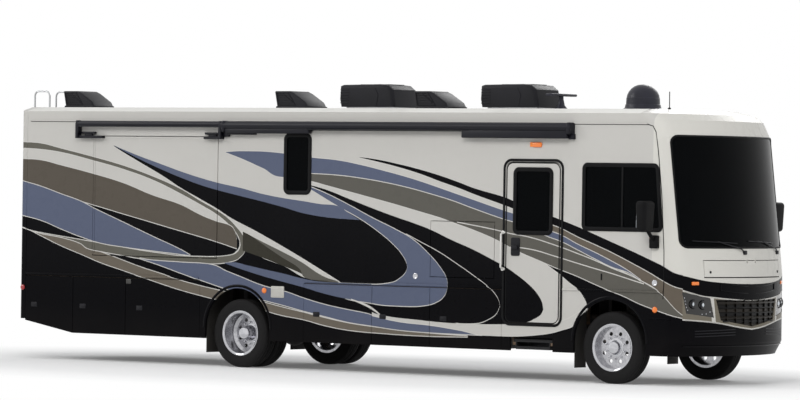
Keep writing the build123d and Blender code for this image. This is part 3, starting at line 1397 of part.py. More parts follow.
def entry_step():
    """Sliding step of two treads under the entry door."""
    half = STEP_L / 2
    y0 = STEP_OUT_Y
    y1 = STEP_OUT_Y + STEP_DEPTH
    low = STEP_Z - STEP_DROP
    upper = block(STEP_MID_X - half, STEP_MID_X + half, y0, y1, STEP_Z, STEP_Z + STEP_T)
    inner = half - STEP_LEDGE - DOOR_GAP
    lower = block(STEP_MID_X - inner, STEP_MID_X + inner, y0, y1 - STEP_DEPTH / 3, low, low + STEP_T)
    pieces = [upper, lower]
    for side in (-1, 1):
        a, b = sorted((STEP_MID_X + side * inner, STEP_MID_X + side * (inner - STEP_CHEEK_T)))
        pieces.append(block(a, b, y0, y1, low, STEP_Z + STEP_T))
    return join(pieces)


def step_hangers():
    """Rails that hang from the step well and carry the sliding step on their ledges."""
    pieces = []
    y1 = -LINING_Y + WELL_DEPTH / 2
    for side in (-1, 1):
        outer = STEP_MID_X + side * (STEP_L / 2 + DOOR_GAP / 2 + STEP_HANGER_T)
        face = STEP_MID_X + side * (STEP_L / 2 + DOOR_GAP / 2)
        inner = STEP_MID_X + side * (STEP_L / 2 - STEP_LEDGE)
        a, b = sorted((outer, face))
        pieces.append(block(a, b, -LINING_Y, y1, STEP_Z - STEP_T, ENTRY_BOTTOM))
        a, b = sorted((outer, inner))
        pieces.append(block(a, b, -LINING_Y, y1, STEP_Z - STEP_T, STEP_Z - SEAT))
    return join(pieces)


# Cab
DASH_DROP = 55
DASH_TOP = WINDSHIELD_BOTTOM - DASH_DROP
DASH_REAR = 560
DASH_LOW_IN = 200
COLUMN_R = 34
WHEEL_RING_R = 225
WHEEL_TUBE_R = 16
WHEEL_HUB_R = 70
WHEEL_HUB_T = 40
SEAT_Y = 620
STEER_Y = SEAT_Y
STEER_TILT = 40
STEER_BACK = 610
SPOKE_ANGLES = [0, 180, 270]
STEER_RISE = 607
STEER_Z = FLOOR_TOP + STEER_RISE
SEAT_X_SHARE = 1.035
SEAT_W = 520
SEAT_L = 520
SEAT_T = 130
SEAT_RISE = 377
SEAT_Z = FLOOR_TOP + SEAT_RISE
SEAT_BACK_H = 780
SEAT_BACK_T = 130
SEAT_BACK_LEAN = 150
SEAT_PEDESTAL = 300


def dashboard():
    """Full width dashboard body that follows the nose, with the steering column."""
    back = X_NOSE - DASH_REAR
    body = side_prism([
        (back, DASH_TOP), (back + DASH_LOW_IN / 2, FLOOR_TOP), (X_NOSE, FLOOR_TOP), (X_NOSE, DASH_TOP),
    ], -INNER_Y + SEAT, INNER_Y - SEAT)
    body &= cap_solid(CAP_T + SEAT)
    body -= block(back + DASH_LOW_IN, X_NOSE, -HOOD_HALF, HOOD_HALF, FLOOR_TOP - OVERRUN, HOOD_TOP + OVERRUN)
    return body + steering_column()


def steer_axis():
    """Direction of the steering column, from the dashboard up to the driver."""
    tilt = math.radians(STEER_TILT)
    return Vector(-math.cos(tilt), 0, math.sin(tilt))


def steering_column():
    """Column from inside the dashboard to the steering wheel's hub."""
    axis = steer_axis()
    centre = Vector(X_NOSE - STEER_BACK, STEER_Y, STEER_Z)
    end = centre - axis * (WHEEL_HUB_T / 2 + SEAT)
    start = centre - axis * STEER_BACK / 2
    return rod((start.X, start.Y, start.Z), (end.X, end.Y, end.Z), COLUMN_R)


def steering_wheel():
    """Ring on three spokes with a hub."""
    axis = steer_axis()
    plane = Plane(origin=(X_NOSE - STEER_BACK, STEER_Y, STEER_Z), x_dir=(0, 1, 0), z_dir=axis)
    ring = Torus(WHEEL_RING_R - WHEEL_TUBE_R, WHEEL_TUBE_R)
    hub = Cylinder(WHEEL_HUB_R, WHEEL_HUB_T)
    wheel = ring + hub
    bar = Box(WHEEL_RING_R - WHEEL_TUBE_R, 2 * WHEEL_TUBE_R, WHEEL_TUBE_R)
    for angle in SPOKE_ANGLES:
        wheel += Rot(0, 0, angle) * Pos(WHEEL_RING_R / 2, 0, 0) * bar
    return plane * wheel


def cab_seats():
    """Driver's and passenger's seats on their pedestals."""
    x = ahead(SEAT_X_SHARE)
    pieces = []
    for side in (-1, 1):
        y = side * SEAT_Y
        seat = block(x - SEAT_L / 2, x + SEAT_L / 2, y - SEAT_W / 2, y + SEAT_W / 2, SEAT_Z - SEAT_T, SEAT_Z)
        back = side_prism([
            (x - SEAT_L / 2, SEAT_Z - SEAT_T), (x - SEAT_L / 2 + SEAT_BACK_T, SEAT_Z - SEAT_T / 2),
            (x - SEAT_L / 2 + SEAT_BACK_T - SEAT_BACK_LEAN, SEAT_Z + SEAT_BACK_H),
            (x - SEAT_L / 2 - SEAT_BACK_LEAN, SEAT_Z + SEAT_BACK_H),
        ], y - SEAT_W / 2, y + SEAT_W / 2)
        foot = SEAT_PEDESTAL / 2
        leg = block(x - foot, x + foot, y - foot, y + foot, FLOOR_TOP, SEAT_Z - SEAT_T)
        pieces.append(join([seat, back, leg]))
    return group(pieces)


def main():
    """Write every node."""
    os.makedirs("parts", exist_ok=True)
    save(chassis_frame(), "chassis_frame")
    save(front_axle(), "front_axle")
    save(knuckle(), "knuckle_right")
    save(mirrored(knuckle()), "knuckle_left")
    save(front_rim(), "rim_front_right")
    save(mirrored(front_rim()), "rim_front_left")
    save(front_tyre(), "tyre_front_right")
    save(mirrored(front_tyre()), "tyre_front_left")
    save(rear_axle(), "rear_axle")
    save(rear_rims(), "rims_rear_right")
    save(mirrored(rear_rims()), "rims_rear_left")
    save(rear_tyres(), "tyres_rear_right")
    save(mirrored(rear_tyres()), "tyres_rear_left")
    save(engine_block(), "engine_block")
    save(tanks(), "tanks")
    save(exhaust(), "exhaust")
    save(mud_flaps(), "mud_flaps")
    save(floor(), "floor")
    save(wall_right(), "wall_right")
    save(wall_left(), "wall_left")
    save(roof(), "roof")
    save(rear_cap(), "rear_cap")
    save(front_cap(), "front_cap")
    save(front_bumper(), "front_bumper")
    save(grille(), "grille")
    save(hood(), "hood")
    save(lamps(), "lamps")
    save(windows(), "windows")
    save(skirt(RIGHT_DOORS, True), "skirt_right")
    save(mirrored(skirt(LEFT_DOORS, False)), "skirt_left")
    save(storage_bays(RIGHT_DOORS), "storage_bays_right")
    save(mirrored(storage_bays(LEFT_DOORS)), "storage_bays_left")
    for row in RIGHT_DOORS:
        save(storage_door(row), row[0])
    for row in LEFT_DOORS:
        save(mirrored(storage_door(row)), row[0])
    save(entry_door(), "entry_door")
    save(entry_glass_prism(SEAT, -HALF + GLASS_SINK, -HALF + GLASS_SINK + GLASS_T), "entry_door_glass")
    save(entry_step(), "entry_step")
    save(screen_hatch(), "screen_hatch")
    save(slide_box(SLIDE_R_X0, SLIDE_R_X1, SLIDE_RIGHT_BOTTOM, SLIDE_RIGHT_DEPTH), "slide_right")
    save(topper(SLIDE_R_X0, SLIDE_R_X1), "topper_right")
    save(slide_left(), "slide_left")
    save(slide_left_windows(), "slide_left_windows")
    save(mirrored(topper(SLIDE_L_X0, SLIDE_L_X1)), "topper_left")
    save(patio_awning(), "patio_awning")
    save(mirrors(), "mirrors")
    save(air_conditioners(), "air_conditioners")
    save(vent_covers(), "vent_covers")
    save(roof_aerials(), "roof_aerials")
    save(ladder(), "ladder")
    save(dashboard(), "dashboard")
    save(steering_wheel(), "steering_wheel")
    save(cab_seats(), "cab_seats")


main()
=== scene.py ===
import json
import math

import bpy
from bpy.props import FloatProperty, FloatVectorProperty, IntProperty, PointerProperty
from mathutils import Matrix, Vector


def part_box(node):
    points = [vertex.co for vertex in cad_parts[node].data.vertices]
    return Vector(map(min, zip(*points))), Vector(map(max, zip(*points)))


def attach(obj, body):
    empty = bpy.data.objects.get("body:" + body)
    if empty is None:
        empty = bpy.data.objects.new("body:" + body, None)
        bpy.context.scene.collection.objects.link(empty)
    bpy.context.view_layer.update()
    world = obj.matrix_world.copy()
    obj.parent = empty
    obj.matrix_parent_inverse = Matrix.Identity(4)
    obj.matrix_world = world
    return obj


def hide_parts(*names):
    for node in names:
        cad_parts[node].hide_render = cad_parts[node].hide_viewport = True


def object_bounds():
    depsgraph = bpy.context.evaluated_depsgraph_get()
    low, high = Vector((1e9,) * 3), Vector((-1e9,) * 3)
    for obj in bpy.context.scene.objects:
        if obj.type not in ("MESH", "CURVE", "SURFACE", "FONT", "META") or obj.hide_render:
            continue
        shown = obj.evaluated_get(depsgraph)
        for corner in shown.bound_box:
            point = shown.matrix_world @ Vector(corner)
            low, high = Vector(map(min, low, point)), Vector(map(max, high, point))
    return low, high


bl_info = {
    "name": "Motorhome",
    "version": (1, 0, 0),
    "blender": (4, 5, 0),
    "location": "View3D > Sidebar > Motorhome",
    "description": "Finishes and fittings of a flat-fronted motorhome, in metres",
    "category": "Object",
}

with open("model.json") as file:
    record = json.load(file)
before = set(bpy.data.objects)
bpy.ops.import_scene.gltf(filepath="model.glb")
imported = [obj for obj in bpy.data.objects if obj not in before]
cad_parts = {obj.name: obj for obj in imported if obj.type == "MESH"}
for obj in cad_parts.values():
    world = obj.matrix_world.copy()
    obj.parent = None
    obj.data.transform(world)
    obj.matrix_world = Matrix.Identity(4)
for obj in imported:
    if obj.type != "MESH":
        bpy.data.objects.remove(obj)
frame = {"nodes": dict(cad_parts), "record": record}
CAD_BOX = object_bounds()
NODES = frame["nodes"]

# Camera that took the photograph
PHOTO_SIZE = (800, 400)
CAMERA_PLACE = Vector((38.6256, -51.7839, 2.5287))
CAMERA_YAW = math.radians(36.6627)
CAMERA_PITCH = math.radians(0.1801)
CAMERA_ROLL = math.radians(0.8511)
FOCAL_PIXELS = 4721.56

# Places on the vehicle, in metres
SIDE_Y = 1.28
AXLE_X = (4.4335, -1.7135)
AXLE_Z = 0.47
WHEEL_Y = 1.1025
TWIN_GAP = 0.27
CAP_SEAM_X = 5.07
FRONT_ZONE_Y = 1.19
ON_ROOF = 3.5605
REAR_X = -5.672
NOSE_CLEARANCE = 0.011

AXES = {"X": Vector((1, 0, 0)), "Y": Vector((0, 1, 0)), "Z": Vector((0, 0, 1))}

# Nodes that a ray from outside meets on the sides and the nose
SIDE_NODES = ("front_cap", "wall_right", "skirt_right")
NOSE_NODES = ("front_cap", "front_bumper", "hood", "grille", "lamps")
GRILLE_NODES = ("grille", "front_bumper", "front_cap")
GLASS_NODES = ("front_cap", "windows")


def plain(r, g, b):
    """Linear colour of a written 0 to 255 colour."""
    parts = []
    for v in (r, g, b):
        v /= 255
        parts.append(v / 12.92 if v <= 0.04045 else ((v + 0.055) / 1.055) ** 2.4)
    return (*parts, 1.0)


def camera_axes():
    """Right, up and forward directions of the camera."""
    forward = Vector((
        -math.sin(CAMERA_YAW) * math.cos(CAMERA_PITCH),
        math.cos(CAMERA_YAW) * math.cos(CAMERA_PITCH),
        -math.sin(CAMERA_PITCH),
    ))
    right = Vector((math.cos(CAMERA_YAW), math.sin(CAMERA_YAW), 0))
    up = right.cross(forward)
    c, s = math.cos(CAMERA_ROLL), math.sin(CAMERA_ROLL)
    return c * right + s * up, c * up - s * right, forward


def side_point(px, py):
    """(x, z) on the right side, seen at a pixel of the photograph."""
    right, up, forward = camera_axes()
    ray = forward * FOCAL_PIXELS
    ray += right * (px - PHOTO_SIZE[0] / 2) - up * (py - PHOTO_SIZE[1] / 2)
    hit = CAMERA_PLACE + ray * ((-SIDE_Y - CAMERA_PLACE.y) / ray.y)
    return hit.x, hit.z


def colour(name, text, r, g, b):
    """Colour property with a written default."""
    return FloatVectorProperty(
        name=name, description=text, subtype="COLOR", size=4, min=0, max=1, default=plain(r, g, b)
    )


class MotorhomeColours(bpy.types.PropertyGroup):
    body: colour("Body", "Main colour of the side walls", 193, 191, 186)
    # The front's colour is the body paint painted lighter: a painted highlight for the light that falls on the
    # front
    cap: colour("Front", "Colour of the moulded front", 209, 207, 200)
    wide: colour("Wide band", "Wide band at the rear", 88, 82, 74)
    thin: colour("Thin hook", "Thin hook round the rear bands", 98, 96, 88)
    swoosh: colour("Swoosh", "Band under the upper sweep", 92, 90, 84)
    low: colour("Lower band", "Lowest band of the side", 105, 98, 88)
    dark: colour("Dark strip", "Darkest strip beside the horn", 55, 53, 46)
    brown: colour("Brown band", "Band behind the door", 100, 92, 82)
    blue: colour("Blue", "Blue-grey bands", 89, 96, 116)
    black: colour("Black", "Black fields and the skirt", 3, 3, 6)
    pin: colour("Pinstripe", "Pale lines between the bands", 200, 198, 193)
    nose: colour("Nose band", "Band that holds the grille and lamps", 116, 110, 98)
    roof: colour("Roof", "Roof skin", 214, 213, 208)


class MotorhomeSizes(bpy.types.PropertyGroup):
    pin_width: FloatProperty(
        name="Pinstripe", description="Width of the lines between bands",
        default=0.011, min=0.002, max=0.05, unit="LENGTH",
    )
    window_rubber: FloatProperty(
        name="Window rubber", description="Width of the frames round the windows",
        default=0.055, min=0.01, max=0.08, unit="LENGTH",
    )
    trim_depth: FloatProperty(
        name="Trim depth", description="How far trim stands out from the walls",
        default=0.005, min=0.002, max=0.02, unit="LENGTH",
    )
    wheel_nuts: IntProperty(
        name="Wheel nuts", description="Nuts on each wheel", default=10, min=5, max=12,
    )
    wiper_length: FloatProperty(
        name="Wiper", description="Length of each wiper blade",
        default=0.74, min=0.4, max=1.0, unit="LENGTH",
    )


def colours():
    return bpy.context.scene.motorhome_colours


def sizes():
    return bpy.context.scene.motorhome_sizes


# Shader building
class Field:
    """A socket whose arithmetic adds Math nodes."""

    def __init__(self, finish, socket):
        self.finish, self.socket = finish, socket

    def _with(self, operation, first, second=None):
        inputs = {0: first} if second is None else {0: first, 1: second}
        node = self.finish.node("ShaderNodeMath", {"operation": operation}, inputs)
        return Field(self.finish, node.outputs[0])

    def __add__(self, other):
        return self._with("ADD", self, other)

    __radd__ = __add__

    def __sub__(self, other):
        return self._with("SUBTRACT", self, other)

    def __rsub__(self, other):
        return self._with("SUBTRACT", other, self)

    def __mul__(self, other):
        return self._with("MULTIPLY", self, other)

    __rmul__ = __mul__

    def __truediv__(self, other):
        return self._with("DIVIDE", self, other)

    def __pow__(self, other):
        return self._with("POWER", self, other)

    def __gt__(self, other):
        return self._with("GREATER_THAN", self, other)

    def __lt__(self, other):
        return self._with("LESS_THAN", self, other)

    def size(self):
        return self._with("ABSOLUTE", self)

    def wave(self):
        return self._with("SINE", self)

    def most(self, other):
        return self._with("MAXIMUM", self, other)


class Finish:
    """A material under construction."""

    def __init__(self, name, tree=None):
        if tree:
            self.tree = tree
            return
        self.material = bpy.data.materials.new(name)
        self.material.use_nodes = True
        self.tree = self.material.node_tree
        self.tree.nodes.clear()
        self.shader = self.node("ShaderNodeBsdfPrincipled")
        self.output = self.node("ShaderNodeOutputMaterial")
        self.tree.links.new(self.shader.outputs[0], self.output.inputs["Surface"])
        self.place = Field(self, self.node("ShaderNodeTexCoord").outputs["Object"])
        parts = self.node("ShaderNodeSeparateXYZ", {}, {0: self.place})
        self.x, self.y, self.z = (Field(self, parts.outputs[i]) for i in range(3))

    def node(self, kind, settings=None, inputs=None):
        """A node of a kind, with its settings and then its sockets' values or links."""
        made = self.tree.nodes.new(kind)
        for key, value in (settings or {}).items():
            if key == "points":
                line = made.mapping.curves[0]
                for point, where in zip(line.points, (value[0], value[-1])):
                    point.location = where
                for where in value[1:-1]:
                    line.points.new(*where)
                for point in line.points:
                    point.handle_type = "AUTO_CLAMPED"
                made.mapping.update()
            else:
                setattr(made, key, value)
        for key, value in (inputs or {}).items():
            if isinstance(value, Field):
                self.tree.links.new(value.socket, made.inputs[key])
            else:
                made.inputs[key].default_value = value
        return made

    def seen_plainly(self):
        """1 where the surface is seen by eye, in a reflection or through glass."""
        rays = self.node("ShaderNodeLightPath")
        kinds = ("Is Camera Ray", "Is Glossy Ray", "Is Transmission Ray")
        eye, mirror, through = (Field(self, rays.outputs[kind]) for kind in kinds)
        return eye.most(mirror).most(through)

    def noise(self, scale, detail=3.0, roughness=0.5, stretch=None):
        """Noise over the surface, 0 to 1, finer with a larger scale."""
        place = self.place
        if stretch:
            mapping = self.node("ShaderNodeMapping", {}, {"Vector": place, "Scale": stretch})
            place = Field(self, mapping.outputs[0])
        node = self.node(
            "ShaderNodeTexNoise", {}, {"Vector": place, "Scale": scale, "Detail": detail, "Roughness": roughness}
        )
        return Field(self, node.outputs["Fac"])

    def cells(self, scale):
        """Distance to the nearest of scattered points."""
        node = self.node("ShaderNodeTexVoronoi", {}, {"Vector": self.place, "Scale": scale})
        return Field(self, node.outputs["Distance"])

    def ramp(self, amount, low, high):
        """amount from 0 at low to 1 at high."""
        node = self.node("ShaderNodeMapRange", {"clamp": True}, {0: amount, 1: low, 2: high})
        return Field(self, node.outputs[0])

    def mix(self, amount, first, second):
        """Colour between first and second."""
        node = self.node("ShaderNodeMix", {"data_type": "RGBA"}, {0: amount, 6: first, 7: second})
        return Field(self, node.outputs[2])

    def line(self, along, points):
        """Height of a curve through points, over one coordinate."""
        start, end = points[0][0], points[-1][0]
        low = min(v for _, v in points) - 0.05
        high = max(v for _, v in points) + 0.05
        shares = [((u - start) / (end - start), (v - low) / (high - low)) for u, v in points]
        share = (along - start) / (end - start)
        node = self.node("ShaderNodeFloatCurve", {"points": shares}, {"Value": share})
        return Field(self, node.outputs[0]) * (high - low) + low

    def bump(self, height, distance, strength):
        node = self.node("ShaderNodeBump", {}, {"Height": height, "Distance": distance, "Strength": strength})
        self.tree.links.new(node.outputs[0], self.shader.inputs["Normal"])

    def feed(self, **values):
        """Values or links for the shader's own sockets, with _ for a space."""
        for key, value in values.items():
            socket = self.shader.inputs[key.replace("_", " ")]
            if isinstance(value, Field):
                self.tree.links.new(value.socket, socket)
            else:
                socket.default_value = value

    def tones(self, amount, first, second, rough, spread, wear=None, **values):
        """Colour between two by an amount, and roughness that rises with it or with wear."""
        roughness = (wear or amount) * spread + rough
        self.feed(Base_Color=self.mix(amount, first, second), Roughness=roughness, **values)


FINISHES = {}


def finish_named(name):
    """The material of that name, made on first use."""
    if name not in FINISHES:
        made = Finish(name)
        MAKERS[name](made)
        FINISHES[name] = made.material
    return FINISHES[name]


# Side stripes, as pixels of the photograph along their upper and lower edges.
# Each holds a colour name, the upper edge, the lower edge and whether a pinstripe runs round it.
HORN_FOOT = [(243, 224.6), (252.2, 229.1), (270, 239), (280, 244.8), (303, 258.5), (325.9, 272.8), (341.4, 282.5)]
WIDE_TOP = [
    (21.5, 158.8), (40.4, 160.1), (60.8, 165.2), (93.5, 173.9), (122, 182.6), (152.7, 195.3), (180, 204.5),
    (201.2, 215.3), (216.5, 221.4), (229.8, 225.5), (235, 231.6),
]
REAR_FOOT = [
    (29.7, 229.5), (40.4, 232), (60.8, 235.6), (90.4, 240.7), (122, 246.5), (160.4, 252.6), (189, 255.6),
    (211.4, 256.1), (229.8, 254.6),
]
HORN_TOP = [
    (113.9, 145.5), (122, 150), (142.4, 160.5), (160.4, 168.9), (180.8, 177.6), (201.2, 185.2),
    (216.5, 189.8), (242, 196.4), (262.4, 201.5), (282.9, 207.1), (303, 213.1), (325.9, 217.2),
]
FIELD_FOOT = [(372, 312), (385.6, 315.9), (417.8, 319.9), (442.9, 322.5), (460, 323.5), (502, 324.3)]
SWOOSH_TOP = [
    (300, 172.5), (311, 173), (337.4, 174.7), (360.4, 177.6), (383.3, 181.6), (406.3, 186.7), (429.2, 193),
    (451.7, 199.9), (473.4, 208), (505.9, 219.4), (515, 222.1), (549.3, 236.7),
]
SWOOSH_FOOT = [
    (284, 177), (311, 181), (325.9, 185), (348.9, 191.3), (371.8, 197.6), (394.8, 204), (417.8, 210.8),
    (440.7, 217.7), (457.1, 223.7), (473.4, 229.7), (495, 238.9), (510.2, 247), (521, 252.5), (538.4, 260),
    (555.8, 267.5), (577.9, 276.3), (595.7, 284.4), (609.1, 290.2), (622.5, 295.5), (640.4, 304),
    (654.6, 309.4), (671.6, 315.6), (680.5, 318.8),
]
SWEEP_FOOT = [
    (359.2, 157.4), (371.8, 160.3), (394.8, 166.1), (417.8, 173), (440.7, 181.6), (460, 188.5), (473.4, 193.9),
    (505.9, 205.8), (515.7, 209.6), (550.3, 223.7), (560.1, 227.5), (577.9, 236.6), (595.7, 244.6),
    (613.6, 253.1), (631.4, 262.5), (649.3, 272.3), (662.7, 280.4), (677.9, 288.4), (684, 290.2),
]
BAND_1_TOP = [
    (140, 258.2), (146, 259.5), (180, 262.3), (209.4, 264.3), (226.7, 271.4), (242, 277.6), (262.4, 285.7),
    (286.9, 292.3), (303, 298.1), (325.9, 305), (348.9, 310.1), (368, 314), (371.8, 315.3), (400, 321.5),
    (430.6, 325), (460, 330), (481.6, 334.7),
]
PALE_FOOT = [
    (372, 315.3), (400, 321.5), (430.6, 325), (460, 330), (481.6, 334.7), (502, 335.5), (543, 333.8),
    (563.3, 329.2), (572.5, 325.9), (577.9, 317.9), (587, 308.5),
]

STRIPES = [
    ("black", [
        (21.5, 214.7), (60.8, 228.5), (90.4, 240.2), (142, 249), (200, 255), (246, 246), (262, 257.7),
        (283, 265.8), (312, 279.7), (342, 283), (372, 300), (386, 316),
    ], None, False),
    ("black", [(350, 329.8), (400, 331), (430.6, 333.5)] + PALE_FOOT[4:], None, False),
    ("black", SWOOSH_FOOT[13:], None, False),
    ("body", [
        (530, 256.4), (539.5, 260.6), (555.8, 272), (560.1, 275.3), (568.9, 283), (577.9, 290.2),
        (583.2, 297.3), (586.8, 305.4), (587, 308.5),
    ], [(530, 334.6)] + PALE_FOOT[6:], True),
    ("low", [
        (29.7, 229.5), (40.4, 231), (60.8, 234), (80, 240), (87.9, 248.4), (101.6, 252.4), (122, 260.1),
        (142.4, 267.8), (162.9, 274.4), (175.7, 279.1), (201.2, 286.2), (226.7, 292.3), (257.3, 300.5),
        (280, 306.7), (303, 312.4), (325.9, 318.2), (348.9, 323.3), (369.5, 326.5), (400, 330.3),
        (430, 333.5), (467.3, 336.3),
    ], [
        (29.7, 229.5), (40.4, 235.1), (60.8, 245.3), (81.2, 254), (101.6, 262.7), (122, 269.8),
        (152.7, 280.5), (180.8, 289.8), (201.2, 295.4), (217.6, 299.5), (257, 308), (280, 314.7),
        (303, 319.3), (325.9, 325.6), (348.9, 330), (380, 333), (430, 336), (467.3, 336.8),
    ], True),
    ("thin", [
        (22, 142), (40.4, 143.3), (60.8, 148.4), (93.5, 157), (122, 165.2), (152.7, 176.4), (180, 188.7),
        (201.2, 201.5), (216.5, 210.2), (226.7, 217.3), (236.9, 227.6), (243, 235.7), (246.1, 243.9),
    ], [
        (22, 227), (40.4, 233), (60.8, 237), (80, 243), (87.9, 248.4), (101.6, 251.4), (122, 255),
        (142.4, 258.6), (180.8, 262.2), (201.2, 263.3), (215.5, 263.5), (231.8, 261.2), (241, 256.1),
        (245.1, 250), (246.1, 243.9),
    ], True),
    ("body", [
        (22, 148.4), (40.4, 149.7), (60.8, 152.7), (93.5, 161.1), (122, 169.3), (152.7, 180.5),
        (180.8, 194.4), (201.2, 205.6), (216.5, 214.8), (226.7, 223), (234.9, 231.6), (239.5, 239.8),
        (240.5, 244.9),
    ], [(22, 226)] + REAR_FOOT + [(238, 250.5), (240.5, 244.9)], True),
    (
        "black", WIDE_TOP + [(239.5, 241)], [(21.5, 226)] + REAR_FOOT + [(236.5, 250.8), (239.5, 246)], False,
    ),
    ("wide", WIDE_TOP + [(236.9, 240)], [
        (21.5, 180.5), (40.4, 186.1), (60.8, 193.8), (81.2, 200.9), (101.6, 207), (122, 213.2),
        (152.7, 222.3), (180, 230.5), (201.2, 236.7), (217.6, 241.8), (236.9, 248.5),
    ], True),
    ("blue", [
        (21.5, 180.7), (40.4, 186.3), (60.8, 194), (81.2, 201.5), (93.5, 208.1), (122, 221.8),
        (152.7, 236.6), (180, 249.4), (190, 255),
    ], [
        (21.5, 214.7), (40.4, 219.8), (60.8, 228.5), (81.2, 236.6), (101.6, 243), (122, 246.5),
        (152.7, 250.6), (180, 254), (190, 255.3),
    ], True),
    ("blue", BAND_1_TOP, [
        (140, 258.4), (160.4, 265.3), (180.8, 273), (201.2, 280.1), (221.6, 287.2), (252.2, 297),
        (282.9, 305), (303, 310.7), (325.9, 316.5), (348.9, 322.2), (371.8, 325.8), (400, 330),
        (430.6, 332.5), (481.6, 335),
    ], True),
    ("body", FIELD_FOOT + [(540, 324.8), (587, 308)], PALE_FOOT, True),
    ("black", [
        (310, 185), (325.9, 189.6), (348.9, 198.8), (371.8, 208), (394.8, 216.6), (417.8, 224.6),
        (430.4, 229.6), (451.7, 240), (473.4, 249.7), (495, 261.1), (505.9, 267.1), (516.7, 274.7),
        (527.6, 283.4), (538.4, 295.3), (542.8, 305), (543.3, 309.4),
    ], [
        (310, 262), (341, 282), (369.5, 303), *FIELD_FOOT, (527, 322), (534, 319.1), (540.6, 314.8),
        (543.3, 309.4),
    ], False),
    ("black", [
        (406.3, 234.4), (417.8, 240.7), (440.7, 253.3), (451.7, 260.6), (473.4, 275.8), (487.5, 286.6),
        (495, 294.2), (499, 301.6), (499.8, 306),
    ], [
        (406.3, 235), (440.7, 290), (460, 323.3), (478, 323), (488.5, 319.1), (496.1, 313.7), (499.8, 306),
    ], True),
    ("black", [
        (404, 238), (417.8, 243.6), (440.7, 256), (460, 310), (462, 321),
    ], [(404, 262), (420, 319.8), (442.9, 322.1), (462, 323)], False),
    ("blue", [
        (310, 186.7), (325.9, 193.5), (348.9, 205.1), (371.8, 217.7), (394.8, 229.2), (412, 239),
        (429.2, 254.5), (440.7, 268.2), (446.5, 278.6), (447.8, 285),
    ], [
        (310, 263), (325.9, 272.8), (341, 282), (344, 297), (348.9, 299.2), (369.5, 302.7), (383.3, 305),
        (406.3, 306.1), (427, 305), (437.3, 301.5), (444.2, 295.8), (447.8, 286),
    ], True),
    ("black", [
        (310, 189.6), (335.1, 205.1), (360.4, 219.5), (377.6, 231.5), (392.5, 244.1), (401.7, 254.5),
        (406.9, 264.8), (407.2, 267),
    ], [
        (310, 263), (325.9, 272.8), (342, 282.6), (371.8, 283.7), (391.4, 282), (399.4, 278), (405.7, 271.7),
        (407.2, 267),
    ], True),
    ("body", [(310, 188.8), (322, 196.6), (336, 205.2)], [(310, 202.4), (320.2, 204), (336, 205.6)], False),
    ("blue", [
        (224.7, 262.8), (231.8, 262.2), (247.1, 265.3), (262.4, 268.9), (282.9, 273.5), (303, 278.6),
        (320, 281.5), (342, 282.8), (371.8, 284),
    ], [
        (224.7, 263.3), (242, 269.4), (262.4, 276), (286, 282.6), (303, 287.2), (325.9, 294.1),
        (348.9, 299.2), (371.8, 303),
    ], False),
    ("pin", [(351, 298.6), (369, 305.5), (383, 316.4)], [(351, 299.6), (369, 308), (383, 317.4)], False),
    ("dark", HORN_FOOT, [
        (243, 250.8), (262.4, 257.7), (282.9, 265.8), (300, 273), (312, 279.7), (326, 281.8), (341.4, 282.6),
    ], False),
    ("swoosh", HORN_FOOT, [
        (243, 229), (255.3, 238.8), (280, 256), (300, 269.4), (304, 277), (326, 281), (341.4, 282.6),
    ], False),
    ("body", HORN_FOOT, [
        (243, 231.6), (262.4, 241.8), (282.9, 252), (300, 261.2), (325.9, 277.4), (334, 280), (341.4, 282.6),
    ], False),
    ("black", HORN_TOP + [(341.4, 218.8)], [
        (113.9, 146), (122, 151.4), (142.4, 163.7), (162.9, 175.9), (180.8, 187.8), (201.2, 199.5),
        (215.5, 207.7), (231.8, 218.4), *HORN_FOOT[1:],
    ], True),
    ("blue", [
        (113.9, 145.3), (122, 148.9), (142.4, 157.2), (160.4, 163.8), (180.8, 171.4), (201.2, 178.1),
        (217.6, 182.7), (242, 188.3), (262.4, 193.9), (282.9, 198), (303, 201.1), (320.2, 204),
        (336, 205.5), (348, 212.5), (359.2, 219.6),
    ], HORN_TOP + [(359.2, 220)], False),
    ("brown", [(527, 217.5), (536, 218.2)] + SWEEP_FOOT[9:], SWOOSH_FOOT[13:], False),
    ("swoosh", [
        (284, 176.8), *SWOOSH_TOP, (577.9, 249.6), (613.6, 267.5), (640.4, 280.8), (654.6, 288.8), (680.5, 318),
    ], SWOOSH_FOOT, True),
    ("blue", [
        (225.7, 152), (242, 151.2), (262, 151.5), (284.4, 153.6), (311, 157.5), (337.4, 160.3),
        (360.4, 164.9), (383.3, 170.7), (406.3, 177), (429.2, 184.4), (451.7, 192.3), (473.4, 199.9),
        (505.9, 211.3), (515, 214.3), (549.3, 230.8), (560.1, 234.9), (577.9, 244.6), (595.7, 253.1),
        (613.6, 262.5), (626.1, 269.6), (640.4, 280),
    ], [
        (225.7, 152.3), (242, 158.7), (262.4, 167.9), (284, 177), (290, 175), *SWOOSH_TOP,
        (560.1, 240.6), (577.9, 249.6),
        (595.7, 258.9), (613.6, 267.5), (627, 271.8), (640.4, 280.6),
    ], True),
    ("black", [
        (359.2, 157.1), (371.8, 158.6), (394.8, 163.2), (417.8, 168.9), (440.7, 175.8), (460, 182.7),
        (473.4, 187.9), (505.9, 197.7), (515.7, 202), (550.3, 215.6), (560.1, 219.6), (577.9, 226.8),
        (595.7, 234.8), (613.6, 242.9), (631.4, 250.9), (649.3, 259.4), (662.7, 266.1), (677.9, 275),
        (684, 276.4),
    ], SWEEP_FOOT, True),
]

# A band whose end is taller than this, in pixels, has no pinstripe round that end
BLUNT_END = 4

# A band that begins left of this pixel runs on past the rear corner
REAR_EDGE = (23, 200)

